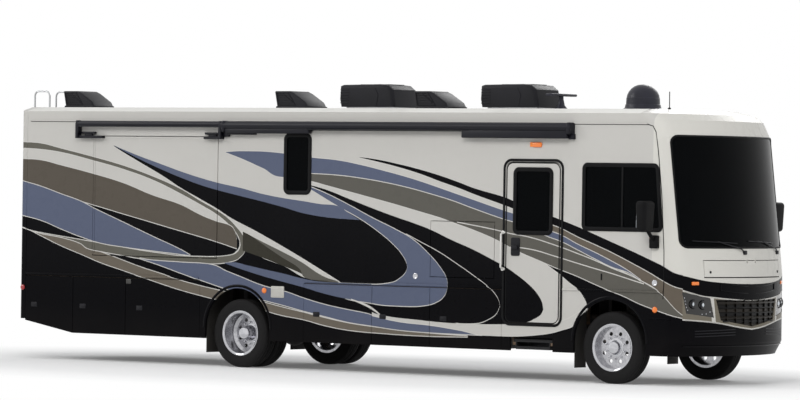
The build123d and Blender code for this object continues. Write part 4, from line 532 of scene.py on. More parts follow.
# Pale lines that have no band of their own
PIN_LINES = [
    [
        (457, 222), (495, 229.7), (510.2, 233.5), (527.6, 236.7), (555.8, 245.4), (577.9, 253.6),
        (595.7, 260.7), (613.6, 268.8), (631.4, 275.9), (640.4, 280.4), (654.6, 288.6),
    ],
    [
        (510.2, 247), (527.6, 248.7), (555.8, 256.5), (577.9, 263.4), (595.7, 268.8), (613.6, 274.1),
        (631.4, 279.9), (643.9, 283.9),
    ],
]

# Lines across the nose, as distance from the middle and height
BAND_TOP = [(0, 1.316), (0.3, 1.32), (0.71, 1.342), (0.88, 1.36), (1.21, 1.427)]
BAND_FOOT = [(0, 1.103), (0.35, 1.113), (0.77, 1.146), (0.935, 1.163), (1.2, 1.235)]
NOSE_FOOT = [(0, 0.733), (0.2, 0.75), (0.776, 0.828), (1.2, 0.861)]

# Pale divider beside the grille, as distances from the middle, and how far it leans with height
DIVIDER = (0.748, 0.81)
DIVIDER_LEAN = 0.12


def band_mask(f, ends, over, under, reach=(0, 0), margin=0):
    """1 inside a band, which reach widens at its ends and margin along its edges."""
    mask = (f.x > ends[0] - reach[0]) * (f.x < ends[1] + reach[1]) * (over > -margin)
    return mask if under is None else mask * (under > -margin)


def main_shade(f):
    """Colour of the body, or ahead of its seam the moulded front, which is the body paint painted lighter as a
    painted highlight for the light on the front.
    """
    return f.mix(f.x > CAP_SEAM_X, tuple(colours().body), tuple(colours().cap))


def side_pattern(f):
    """Colour of the sides from x and z, band over band."""
    shades = colours()
    width = sizes().pin_width
    rear_end = side_point(*REAR_EDGE)[0]
    shade = main_shade(f)
    for name, upper, lower, pin in STRIPES:
        top_points = [side_point(*p) for p in upper]
        start, end = top_points[0][0], top_points[-1][0]
        if start < rear_end:
            start -= 1
        over = f.line(f.x, top_points) - f.z
        under = f.z - f.line(f.x, [side_point(*p) for p in lower]) if lower else None
        if pin:
            reach = [width / 2 if not lower or abs(upper[i][1] - lower[i][1]) < BLUNT_END else 0 for i in (0, -1)]
            shade = f.mix(band_mask(f, (start, end), over, under, reach, width), shade, tuple(shades.pin))
        filled = main_shade(f) if name == "body" else tuple(getattr(shades, name))
        shade = f.mix(band_mask(f, (start, end), over, under), shade, filled)
    for points in PIN_LINES:
        places = [side_point(*p) for p in points]
        within = (f.x > places[0][0]) * (f.x < places[-1][0])
        near = (f.z - f.line(f.x, places)).size() < width * 0.6
        shade = f.mix(within * near, shade, tuple(shades.pin))
    return shade


def nose_pattern(f):
    """Colour of the nose from the distance to the middle and the height."""
    shades = colours()
    across = f.y.size()
    top, middle, foot = (f.line(across, points) for points in (BAND_TOP, BAND_FOOT, NOSE_FOOT))
    # Above the band the nose takes the front's colour, the body paint painted lighter as a painted highlight
    shade = f.mix(f.z < top, tuple(shades.cap), tuple(shades.black))
    shade = f.mix(f.z < middle, shade, tuple(shades.nose))
    leaned = across + (middle - f.z) * DIVIDER_LEAN
    divider = (leaned > DIVIDER[0]) * (leaned < DIVIDER[1])
    shade = f.mix(divider * (f.z < middle), shade, tuple(shades.pin))
    shade = f.mix(f.z < foot, shade, tuple(shades.black))
    for edge in (middle, foot):
        near = (f.z - edge).size() < sizes().pin_width * 0.8
        shade = f.mix(near, shade, tuple(shades.pin))
    return shade


def body_paint(f):
    """Glossy paint of the body with its bands, road dust low down and faint ripple."""
    nose = (f.x > CAP_SEAM_X) * (f.y.size() < FRONT_ZONE_Y)
    shade = f.mix(nose, side_pattern(f), nose_pattern(f))
    dust = f.ramp(f.z, 0.8, 0.3) * f.noise(2.2, 5) * 0.03
    shade = f.mix(dust, shade, plain(120, 112, 100))
    shade = f.mix(f.noise(0.7, 2) * 0.06, shade, plain(70, 68, 66))
    f.feed(
        Base_Color=shade, Roughness=0.24 + f.noise(9, 4) * 0.08 + dust * 4,
        Coat_Weight=f.ramp(f.z, 1.0, 1.9) * 0.05, Coat_Roughness=0.06, Specular_IOR_Level=0.035,
    )
    f.bump(f.noise(1.3, 2) * 0.6 + f.noise(160, 2) * 0.02, 0.004, 0.35)


def roof_skin(f):
    grime = f.ramp(f.noise(1.4, 6), 0.5, 0.75) * 0.35
    f.tones(grime, tuple(colours().roof), plain(150, 146, 138), 0.62, 0.3)
    f.bump(f.noise(60, 3), 0.002, 0.4)


def skirt_black(f):
    dust = f.ramp(f.z, 0.7, 0.25) * f.noise(3, 5) * 0.04
    f.tones(dust, tuple(colours().black), plain(96, 90, 82), 0.2, 1.2, Specular_IOR_Level=0.07)
    f.bump(f.noise(2, 2), 0.003, 0.25)


def dark_glass(f):
    """Tinted glass with a faint haze."""
    haze = f.noise(3, 3) * 0.5
    f.tones(haze, plain(1, 2, 3), plain(7, 9, 11), 0.03, 0.04, Alpha=0.93, Specular_IOR_Level=0.035)
    f.bump(f.noise(0.9, 1), 0.004, 0.15)


def tyre_rubber(f):
    f.tones(f.noise(18, 5), plain(9, 9, 10), plain(24, 23, 23), 0.62, 0.2, Specular_IOR_Level=0.2)
    f.bump(f.noise(220, 2), 0.0012, 0.5)


def polished_metal(f):
    # The darker patches mixed in by noise are painted reflection of the dark ground round the rims
    f.tones(f.noise(24, 4), plain(214, 214, 217), plain(138, 138, 143), 0.14, 0.14, Metallic=1.0)
    f.bump(f.noise(5, 2), 0.001, 0.3)


def chrome(f):
    # The darker patches mixed in by noise are painted reflection, giving the chrome the contrast of dark
    # surroundings
    f.tones(f.noise(14, 3), plain(222, 222, 225), plain(164, 165, 170), 0.06, 0.07, Metallic=1.0)


def silver_trim(f):
    f.tones(f.noise(12, 3), tuple(colours().pin), plain(172, 170, 164), 0.32, 0.1, f.noise(30), Metallic=0.35)


def frame_paint(f):
    """Satin black chassis paint with rust coloured dust in patches."""
    rust = f.ramp(f.noise(5, 7, 0.6), 0.58, 0.72) * 0.4
    f.tones(rust, plain(26, 25, 25), plain(92, 66, 48), 0.5, 0.8)
    f.bump(f.noise(70, 3), 0.001, 0.5)


def cast_metal(f):
    f.tones(f.noise(8, 6), plain(96, 96, 95), plain(46, 44, 42), 0.45, 0.3, Metallic=0.7)
    f.bump(f.noise(45, 4), 0.003, 0.5)


def tank_plastic(f):
    f.tones(f.noise(4, 5), plain(34, 35, 36), plain(70, 66, 60), 0.55, 0.15)
    f.bump(f.cells(55), 0.001, 0.3)


def exhaust_steel(f):
    f.tones(f.noise(6, 5), plain(150, 142, 132), plain(96, 78, 62), 0.38, 0.25, Metallic=0.9)
    f.bump(f.noise(60, 3), 0.001, 0.4)


def flap_rubber(f):
    f.tones(f.noise(7, 5), plain(20, 20, 21), plain(52, 49, 45), 0.7, 0.15)
    f.bump((f.z * 420).wave() * 0.3 + f.noise(90), 0.001, 0.5)


def floor_lining(f):
    """Planks along the vehicle with dark joints."""
    grain = f.noise(3, 5, 0.6, (1, 9, 1))
    shade = f.mix(grain, plain(112, 92, 72), plain(74, 58, 44))
    joint = (f.y * 21).wave().size() < 0.06
    f.feed(Base_Color=f.mix(joint, shade, plain(42, 34, 28)), Roughness=0.42 + grain * 0.2)
    f.bump(grain + joint * -0.6, 0.002, 0.4)


def bay_lining(f):
    pile = f.noise(240, 3)
    f.feed(Base_Color=f.mix(pile, plain(74, 74, 76), plain(104, 103, 102)), Roughness=0.9)
    f.bump(pile, 0.003, 0.6)


def step_metal(f):
    """Tread with raised diagonal bars."""
    bars = ((f.x + f.y) * 130).wave() * ((f.x - f.y) * 130).wave()
    f.tones(
        f.noise(9, 4), plain(22, 22, 24), plain(52, 52, 53), 0.5, 0.2, Metallic=0.3, Specular_IOR_Level=0.2
    )
    f.bump(f.ramp(bars, 0.2, 0.7), 0.003, 0.8)


def awning_case(f):
    f.tones(f.noise(2.5, 4), plain(5, 5, 10), plain(17, 17, 27), 0.36, 0.12, Specular_IOR_Level=0.25)
    f.bump(f.noise(40, 2, 0.5, (0.1, 1, 1)), 0.001, 0.3)


def awning_cloth(f):
    thread = ((f.x * 900).wave() + (f.z * 900).wave()) * 0.25
    f.feed(Base_Color=f.mix(f.noise(3, 4), plain(30, 31, 34), plain(54, 55, 58)), Roughness=0.85)
    f.bump(thread, 0.001, 0.5)


def black_plastic(f):
    f.tones(f.noise(3, 5), plain(10, 10, 13), plain(26, 26, 31), 0.42, 0.16, Specular_IOR_Level=0.2)
    f.bump(f.cells(260) * 0.5 + f.noise(1.5, 2), 0.0015, 0.35)


def rubber_trim(f):
    f.tones(
        f.noise(12, 4), plain(6, 6, 7), plain(16, 16, 17), 0.5, 0.15, f.noise(25), Specular_IOR_Level=0.12
    )
    f.bump(f.noise(180, 2), 0.0008, 0.4)


def aerial_plastic(f):
    f.tones(f.noise(4, 5), plain(13, 13, 20), plain(44, 44, 54), 0.24, 0.3, Specular_IOR_Level=0.3)
    f.bump(f.noise(24, 3), 0.003, 0.4)


def ladder_metal(f):
    brush = f.noise(30, 3, 0.5, (1, 1, 12))
    f.tones(brush, plain(206, 207, 208), plain(160, 161, 163), 0.28, 0.15, Metallic=0.9)


def dash_plastic(f):
    f.tones(f.noise(5, 4), plain(44, 43, 42), plain(66, 63, 60), 0.58, 0.1, f.noise(20))
    f.bump(f.cells(190), 0.001, 0.6)


def seat_leather(f):
    """Grained leather with a soft sheen and worn, paler places."""
    worn = f.ramp(f.noise(4, 5), 0.5, 0.75)
    f.tones(worn * 0.6, plain(132, 120, 104), plain(164, 152, 134), 0.46, 0.14, worn, Sheen_Weight=0.15)
    f.bump(f.cells(230) * 0.6 + f.noise(40, 3) * 0.4, 0.0012, 0.6)


def seam_thread(f):
    twist = ((f.x + f.y + f.z) * 1800).wave()
    f.feed(Base_Color=f.mix(twist * 0.5 + 0.5, plain(86, 76, 62), plain(112, 100, 84)), Roughness=0.7)
    f.bump(twist, 0.0006, 0.6)


def lamp_lens(f):
    """Lenses: dark headlamps in front, red at the rear, orange markers."""
    ribs = (f.z * 900).wave() * 0.5 + 0.5
    rear = f.x < -4
    lens = f.mix(rear, plain(7, 6, 5), plain(150, 8, 8))
    lens = f.mix((f.z > 2.6) * (1 - rear), lens, plain(236, 120, 18))
    lens = f.mix((f.y.size() > 1.27) * (1 - rear), lens, plain(240, 130, 20))
    lens = f.mix(f.noise(20, 3) * 0.1, lens, plain(44, 36, 28))
    f.feed(Base_Color=lens, Roughness=0.08 + ribs * 0.05, Coat_Weight=0.3)
    f.bump(ribs, 0.0006, 0.25)


def orange_lens(f):
    ribs = ((f.x + f.y) * 700).wave() * 0.5 + 0.5
    shade = f.mix(ribs, plain(240, 128, 22), plain(206, 96, 10))
    f.feed(
        Base_Color=shade, Roughness=0.12 + ribs * 0.06, Coat_Weight=0.8,
        Emission_Color=shade, Emission_Strength=0.12,
    )
    f.bump(ribs, 0.0008, 0.4)


def red_lens(f):
    ribs = (f.z * 800).wave() * 0.5 + 0.5
    f.tones(ribs, plain(176, 14, 14), plain(120, 6, 8), 0.12, 0.06, Coat_Weight=0.8)
    f.bump(ribs, 0.0008, 0.4)


def grille_plastic(f):
    """Dark grille with level bars, and the gaps between the bars painted darker as painted shade."""
    # The near-black stripes between the bars are painted shade in the grille's openings
    bars_over_shaded_gaps = f.ramp((f.z * 66).wave(), -0.1, 0.3)
    f.tones(bars_over_shaded_gaps, plain(5, 4, 4), plain(30, 26, 21), 0.3, 0.15, f.noise(20), Specular_IOR_Level=0.15)
    f.bump(bars_over_shaded_gaps, 0.01, 0.9)


def mirror_silver(f):
    f.tones(f.noise(6, 3), plain(206, 211, 216), plain(184, 190, 196), 0.02, 0.03, Metallic=1.0)


def white_fitting(f):
    f.tones(f.noise(6, 5), plain(224, 223, 219), plain(194, 192, 186), 0.34, 0.12, f.noise(40))


def plate_blank(f):
    """Pale plate with pressed slats and nothing on it."""
    f.feed(Base_Color=f.mix(f.noise(5, 4), plain(198, 196, 190), plain(176, 173, 166)), Roughness=0.45)
    f.bump(f.ramp((f.z * 260).wave(), -0.2, 0.4), 0.003, 0.7)


MAKERS = {
    maker.__name__: maker
    for maker in (
        body_paint, roof_skin, skirt_black, dark_glass, tyre_rubber, polished_metal, chrome, silver_trim,
        frame_paint, cast_metal, tank_plastic, exhaust_steel, flap_rubber, floor_lining, bay_lining,
        step_metal, awning_case, awning_cloth, black_plastic, rubber_trim, aerial_plastic, ladder_metal,
        dash_plastic, seat_leather, seam_thread, lamp_lens, orange_lens, red_lens, grille_plastic,
        mirror_silver, white_fitting, plate_blank,
    )
}

# Finish of each slot that the record names
SLOT_FINISH = {
    "frame_paint": "frame_paint", "engine": "cast_metal", "tank_plastic": "tank_plastic",
    "exhaust_steel": "exhaust_steel", "flap_rubber": "flap_rubber", "polished_rim": "polished_metal",
    "tyre": "tyre_rubber", "floor_lining": "floor_lining", "bay_lining": "bay_lining",
    "side_paint": "body_paint", "roof_skin": "roof_skin", "cap_paint": "body_paint",
    "lower_paint": "body_paint", "grille_plastic": "grille_plastic", "lamp_lens": "lamp_lens",
    "dark_glass": "dark_glass", "step_metal": "step_metal", "awning_case": "awning_case",
    "black_plastic": "black_plastic", "aerial_plastic": "aerial_plastic", "ladder_metal": "ladder_metal",
    "dash_plastic": "dash_plastic", "seat_fabric": "seat_leather",
}
FINISH_SLOT = {finish: slot for slot, finish in reversed(SLOT_FINISH.items())}


def give(piece, finish):
    """Only this material on a piece."""
    piece.data.materials.clear()
    piece.data.materials.append(finish_named(finish))


class MOTORHOME_OT_stage(bpy.types.Operator):
    """Floor, light and camera of the photograph"""

    bl_idname = "motorhome.stage"
    bl_label = "Stage"

    def execute(self, context):
        self.floor()
        self.light(context)
        self.camera(context)
        context.scene.view_settings.view_transform = "Standard"
        return {"FINISHED"}

    def floor(self):
        clear_selection()
        bpy.ops.mesh.primitive_plane_add(size=160)
        floor = bpy.context.object
        floor.name = "floor"
        f = Finish("pale_floor")
        f.feed(Base_Color=plain(244, 244, 243), Roughness=0.9, Specular_IOR_Level=0.1)
        # The floor's shadow shows in an oval round the vehicle, and turns to white beyond it
        away = ((f.x * 0.118) ** 2 + ((f.y + 0.4) * 0.2) ** 2) ** 0.5
        far = f.ramp(away, 0.78, 1.2)
        glow = f.node("ShaderNodeEmission", {}, {"Color": (1, 1, 1, 1), "Strength": 1.0})
        still = f.node("ShaderNodeMixShader", {}, {0: f.seen_plainly() * (0.12 + far * 0.88)})
        f.tree.links.new(f.shader.outputs[0], still.inputs[1])
        f.tree.links.new(glow.outputs[0], still.inputs[2])
        f.tree.links.new(still.outputs[0], f.output.inputs["Surface"])
        floor.data.materials.append(f.material)

    def light(self, context):
        world = bpy.data.worlds.new("studio")
        world.use_nodes = True
        world.node_tree.nodes.clear()
        f = Finish("studio", world.node_tree)
        back = f.mix(f.seen_plainly(), (0.33, 0.335, 0.35, 1), (1, 1, 1, 1))
        ground = f.node("ShaderNodeBackground", {}, {"Color": back})
        out = f.node("ShaderNodeOutputWorld")
        f.tree.links.new(ground.outputs[0], out.inputs["Surface"])
        context.scene.world = world
        # Area lamps: place and size in metres, and power in watts
        for name, place, size, power in (
            ("key_lamp", (12, -24, 17), 13, 3650),
            ("front_lamp", (26, 3, 11), 10, 1080),
            ("top_lamp", (0, -6, 26), 14, 1300),
            ("rear_lamp", (-18, -16, 14), 10, 1500),
            ("far_lamp", (-4, 22, 15), 12, 1800),
        ):
            lamp = bpy.data.lights.new(name, "AREA")
            lamp.shape, lamp.size, lamp.energy = "DISK", size, power
            holder = bpy.data.objects.new(name, lamp)
            holder.location = place
            aim = Vector((0, 0, 1.4)) - Vector(place)
            holder.rotation_euler = aim.to_track_quat("-Z", "Y").to_euler()
            holder.visible_glossy = name in ("rear_lamp", "far_lamp")
            context.scene.collection.objects.link(holder)

    def camera(self, context):
        right, up, forward = camera_axes()
        data = bpy.data.cameras.new("photo_camera")
        data.sensor_fit = "HORIZONTAL"
        data.sensor_width = 36
        data.lens = FOCAL_PIXELS / PHOTO_SIZE[0] * data.sensor_width
        data.clip_start, data.clip_end = 1, 300
        holder = bpy.data.objects.new("photo_camera", data)
        turn = Matrix((right, up, -forward)).transposed().to_4x4()
        holder.matrix_world = Matrix.Translation(CAMERA_PLACE) @ turn
        context.scene.collection.objects.link(holder)
        context.scene.camera = holder


class MOTORHOME_OT_finishes(bpy.types.Operator):
    """Materials of the parts that come from the frame"""

    bl_idname = "motorhome.finishes"
    bl_label = "Finishes"

    def execute(self, context):
        for part in frame["record"]["subparts"]:
            give(NODES[part["node"]], SLOT_FINISH[part["material_slot"]])
        return {"FINISHED"}


# Modelling helpers
def clear_selection():
    if bpy.context.object and bpy.context.object.mode != "OBJECT":
        bpy.ops.object.mode_set(mode="OBJECT")
    bpy.ops.object.select_all(action="DESELECT")


def take(piece):
    clear_selection()
    piece.select_set(True)
    bpy.context.view_layer.objects.active = piece


def named(piece, name):
    piece.name = piece.data.name = name
    return piece


def settle(name):
    """Name of the new piece, with its place moved into its mesh."""
    bpy.ops.object.transform_apply(location=True, rotation=True, scale=True)
    return named(bpy.context.object, name)


def edit(piece, kind, wanted=None):
    """Edit mode with the faces, edges or corners chosen by place and direction."""
    take(piece)
    bpy.context.tool_settings.mesh_select_mode = (kind == "VERT", kind == "EDGE", kind == "FACE")
    mesh = piece.data
    for group in (mesh.vertices, mesh.edges, mesh.polygons):
        group.foreach_set("select", [wanted is None] * len(group))
    if wanted and kind == "FACE":
        for face in mesh.polygons:
            face.select = bool(wanted(face.center, face.normal))
    elif wanted and kind == "VERT":
        for corner in mesh.vertices:
            corner.select = bool(wanted(corner.co))
    elif wanted:
        for edge in mesh.edges:
            a, b = (mesh.vertices[i].co for i in edge.vertices)
            edge.select = bool(wanted((a + b) / 2))
    bpy.ops.object.mode_set(mode="EDIT")


def leave():
    bpy.ops.object.mode_set(mode="OBJECT")


def moved(piece, move, wanted=None):
    edit(piece, "VERT", wanted)
    bpy.ops.transform.translate(value=move)
    leave()


def scaled(piece, factors, centre, kind="VERT", wanted=None):
    edit(piece, kind, wanted)
    bpy.ops.transform.resize(value=factors, center_override=centre)
    leave()


def turned(piece, angle, axis, centre):
    edit(piece, "VERT")
    bpy.ops.transform.rotate(value=angle, orient_axis=axis, center_override=centre)
    leave()


def rounded(piece, offset, segments, kind="EDGE", wanted=None):
    """Rounded edges, or rounded corners of a flat piece."""
    edit(piece, kind, wanted)
    bpy.ops.mesh.bevel(offset=offset, segments=segments, affect="EDGES" if kind == "EDGE" else "VERTICES")
    leave()


def modify(piece, kind, **settings):
    """A modifier, applied at once."""
    take(piece)
    modifier = piece.modifiers.new(kind.title(), kind)
    for key, value in settings.items():
        setattr(modifier, key, value)
    bpy.ops.object.modifier_apply(modifier=modifier.name)


def soften(piece, width, segments=2, **settings):
    """Small bevels along the sharp edges."""
    modify(piece, "BEVEL", width=width, segments=segments, limit_method="ANGLE", **settings)


def done(piece, body, finish, replaces=(), smooth=35):
    """Shading, finish and body for a finished piece."""
    take(piece)
    bpy.ops.object.shade_smooth_by_angle(angle=math.radians(smooth))
    give(piece, finish)
    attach(piece, body)
    finish in FINISH_SLOT
    if replaces:
        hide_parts(*replaces)
    return piece


def both(piece, body, finish, replaces=()):
    """The piece of the right side, and its mirrored copy on the left."""
    done(piece, body, finish, replaces)
    twin = mirrored(piece, piece.name.replace("right", "left"))
    done(twin, body.replace("right", "left"), finish, replaces)


def block(name, low, high, bevel=0.0, segments=2):
    """Box between two corners with rounded edges."""
    clear_selection()
    low, high = Vector(low), Vector(high)
    bpy.ops.mesh.primitive_cube_add(size=1, location=(low + high) / 2, scale=high - low)
    piece = settle(name)
    if bevel:
        rounded(piece, bevel, segments)
    return piece


def path(name, places):
    """Edges from place to place, selected in edit mode."""
    clear_selection()
    bpy.ops.mesh.primitive_plane_add(size=0.01, location=places[0])
    piece = settle(name)
    edit(piece, "VERT")
    bpy.ops.mesh.merge(type="CENTER")
    for before, after in zip(places, places[1:]):
        bpy.ops.mesh.extrude_vertices_move(TRANSFORM_OT_translate={"value": after - before})
    bpy.ops.mesh.select_all(action="SELECT")
    return piece


def lathe(name, profile, centre, axis, steps=40):
    """Profile of (distance along the axis, radius) points spun about the axis."""
    centre, along = Vector(centre), AXES[axis]
    across = AXES["X" if axis == "Z" else "Z"]
    piece = path(name, [centre + along * a + across * r for a, r in profile])
    bpy.ops.mesh.spin(steps=steps, angle=math.tau, center=centre, axis=along)
    bpy.ops.mesh.select_all(action="SELECT")
    bpy.ops.mesh.remove_doubles(threshold=0.00002)
    bpy.ops.mesh.normals_make_consistent(inside=False)
    leave()
    return piece


def outline(name, points, y0, y1, bevel=0.0, segments=3):
    """Side profile of (x, z) points made into a solid between two widths."""
    piece = path(name, [Vector((x, y0, z)) for x, z in points])
    bpy.ops.mesh.edge_face_add()
    bpy.ops.mesh.extrude_region_move(TRANSFORM_OT_translate={"value": (0, y1 - y0, 0)})
    bpy.ops.mesh.select_all(action="SELECT")
    bpy.ops.mesh.normals_make_consistent(inside=False)
    if bevel:
        bpy.ops.mesh.bevel(offset=bevel, segments=segments, affect="EDGES")
    leave()
    return piece


def tube(name, points, radius, sides=2):
    """Round bar through points, with closed ends."""
    clear_selection()
    line = bpy.data.curves.new(name, "CURVE")
    line.dimensions = "3D"
    line.bevel_depth, line.bevel_resolution, line.use_fill_caps = radius, sides, True
    spline = line.splines.new("POLY")
    spline.points.add(len(points) - 1)
    for point, place in zip(spline.points, points):
        point.co = (*place, 1)
    piece = bpy.data.objects.new(name, line)
    bpy.context.scene.collection.objects.link(piece)
    take(piece)
    bpy.ops.object.convert(target="MESH")
    return bpy.context.object


def join(name, pieces):
    """Several pieces made into one."""
    take(pieces[0])
    for piece in pieces:
        piece.select_set(True)
    bpy.ops.object.join()
    return named(bpy.context.object, name)


def copied(piece, name, move=(0, 0, 0)):
    """Copy with its own mesh, moved."""
    take(piece)
    bpy.ops.object.duplicate(linked=False)
    twin = named(bpy.context.object, name)
    moved(twin, move)
    return twin


def mirrored(piece, name):
    """Copy on the other side of the vehicle."""
    twin = copied(piece, name)
    edit(twin, "VERT")
    bpy.ops.transform.resize(value=(1, -1, 1), center_override=(0, 0, 0))
    bpy.ops.mesh.flip_normals()
    leave()
    return twin


def wall_panel(name, x0, x1, z0, z1, side):
    """Flat panel on a side wall that faces outwards."""
    clear_selection()
    bpy.ops.mesh.primitive_plane_add(
        size=1, location=((x0 + x1) / 2, side * SIDE_Y, (z0 + z1) / 2), rotation=(-side * math.pi / 2, 0, 0)
    )
    bpy.context.object.scale = (x1 - x0, z1 - z0, 1)
    return settle(name)


def flat_frame(name, x0, x1, z0, z1, radius, width, depth, side=-1, lean=0.0):
    """Rounded frame on a side wall, whose upper front corner leans back."""
    piece = wall_panel(name, x0, x1, z0, z1, side)
    if lean:
        moved(piece, (-lean, 0, 0), lambda p: p.x > (x0 + x1) / 2 and p.z > (z0 + z1) / 2)
    rounded(piece, radius, 8, "VERT")
    edit(piece, "FACE")
    bpy.ops.mesh.inset(thickness=width)
    bpy.ops.mesh.delete(type="FACE")
    leave()
    modify(piece, "SOLIDIFY", thickness=depth, offset=1)
    soften(piece, depth * 0.35)
    return piece


def plate(name, x0, x1, z0, z1, radius, depth, side=-1):
    """Rounded plate on a side wall, with a raised middle."""
    piece = wall_panel(name, x0, x1, z0, z1, side)
    rounded(piece, radius, 5, "VERT")
    modify(piece, "SOLIDIFY", thickness=depth, offset=1)
    edit(piece, "FACE", lambda p, n: n.y * side > 0.9)
    bpy.ops.mesh.inset(thickness=radius * 0.5, depth=depth * 0.25)
    leave()
    soften(piece, depth * 0.2)
    return piece


def skin(place, direction, names):
    """First point and direction of a surface of the named parts, seen along a ray."""
    place, direction = Vector(place), Vector(direction).normalized()
    best = None
    for name in names:
        hit, point, normal, _ = NODES[name].ray_cast(place, direction)
        if hit and (best is None or (point - place).length < (best[0] - place).length):
            best = (point.copy(), normal.copy())
    if best is None:
        raise RuntimeError(f"nothing of {names} lies there")
    return best


def nose_point(y, z, out=0.0, names=NOSE_NODES):
    """Point on the nose at that width and height, inside the CAD box."""
    point, normal = skin((9, y, z), (-1, 0, 0), names)
    place = point + normal * out
    place.x = min(place.x, CAD_BOX[1].x - NOSE_CLEARANCE)
    return place


def nose_line(places, out=0.0, names=NOSE_NODES):
    return [nose_point(y, z, out, names) for y, z in places]


def side_name(side):
    return "left" if side > 0 else "right"


class MOTORHOME_OT_window_frames(bpy.types.Operator):
    """Rubber frames round the side windows and the doorway"""

    bl_idname = "motorhome.window_frames"
    bl_label = "Window frames"

    # Name, body, x and z limits of the glass, corner radius and side
    GLASSES = (
        ("bed_window_frame", "root", -4.169, -3.409, 2.25, 2.838, 0.09, 1),
        ("slide_window_frame_1", "slide_left", -1.0, -0.145, 1.95, 2.7, 0.09, 1),
        ("slide_window_frame_2", "slide_left", 1.139, 2.525, 1.95, 2.7, 0.09, 1),
        ("entry_glass_frame", "entry_door", 2.903, 3.5, 1.922, 2.769, 0.085, -1),
    )

    def execute(self, context):
        depth = sizes().trim_depth * 2
        mid = self.around("mid_window_frame", -0.922, -0.486, 2.398, 3.193, 0.09)
        done(mid, "root", "rubber_trim")
        cab = self.around("cab_window_frame_right", 3.995, 5.221, 1.992, 2.838, 0.08, lean=0.075)
        both(cab, "root", "rubber_trim")
        bar = block("cab_window_bar_right", (4.588, -1.284, 2.0), (4.616, -1.268, 2.83), 0.003)
        both(bar, "root", "rubber_trim")
        for name, body, *limits, side in self.GLASSES:
            done(self.around(name, *limits, side), body, "rubber_trim")
        # Rubber round the doorway, edge of the door and flanges of the slide-outs
        for name, body, x0, x1, z0, z1, radius, border, share, side, finish in (
            ("doorway_frame", "root", 2.7214, 3.6854, 0.711, 2.898, 0.128, 0.034, 0.8, -1, "rubber_trim"),
            ("entry_door_edge", "entry_door", 2.7724, 3.6304, 0.75, 2.851, 0.1, 0.013, 0.2, -1, "rubber_trim"),
            ("slide_right_flange", "slide_right", -4.323, -2.095, 1.49, 3.15, 0.02, 0.028, 0.5, -1, "body_paint"),
            ("slide_left_flange", "slide_left", -1.335, 2.945, 1.3, 3.15, 0.02, 0.028, 0.5, 1, "body_paint"),
        ):
            done(flat_frame(name, x0, x1, z0, z1, radius, border, depth * share, side), body, finish)
        done(self.windshield_rubber(), "root", "rubber_trim")
        return {"FINISHED"}

    def around(self, name, x0, x1, z0, z1, radius, side=-1, lean=0.0):
        """Rubber round a glass, which laps over the wall."""
        width, depth = sizes().window_rubber, sizes().trim_depth * 2
        lap = width * 0.35
        return flat_frame(name, x0 - lap, x1 + lap, z0 - lap, z1 + lap, radius, width, depth, side, lean)

    def windshield_rubber(self):
        """Rubber that follows the edge of the windshield."""
        half, low, high, radius = 1.195, 1.785, 3.216, 0.09
        path_points = []
        for y, z, start in ((half, high, 0), (-half, high, 90), (-half, low, 180), (half, low, 270)):
            cy = y - math.copysign(radius, y)
            cz = z - radius if z == high else z + radius
            for step in range(5):
                a = math.radians(start + step * 22.5)
                path_points.append((cy + radius * math.cos(a), cz + radius * math.sin(a)))
        dense = []
        for (y0, z0), (y1, z1) in zip(path_points, path_points[1:] + path_points[:1]):
            count = max(1, int(math.hypot(y1 - y0, z1 - z0) / 0.12))
            dense += [(y0 + (y1 - y0) * k / count, z0 + (z1 - z0) * k / count) for k in range(count)]
        dense.append(dense[0])
        return tube("windshield_rubber", nose_line(dense, -0.003, GLASS_NODES), 0.014)


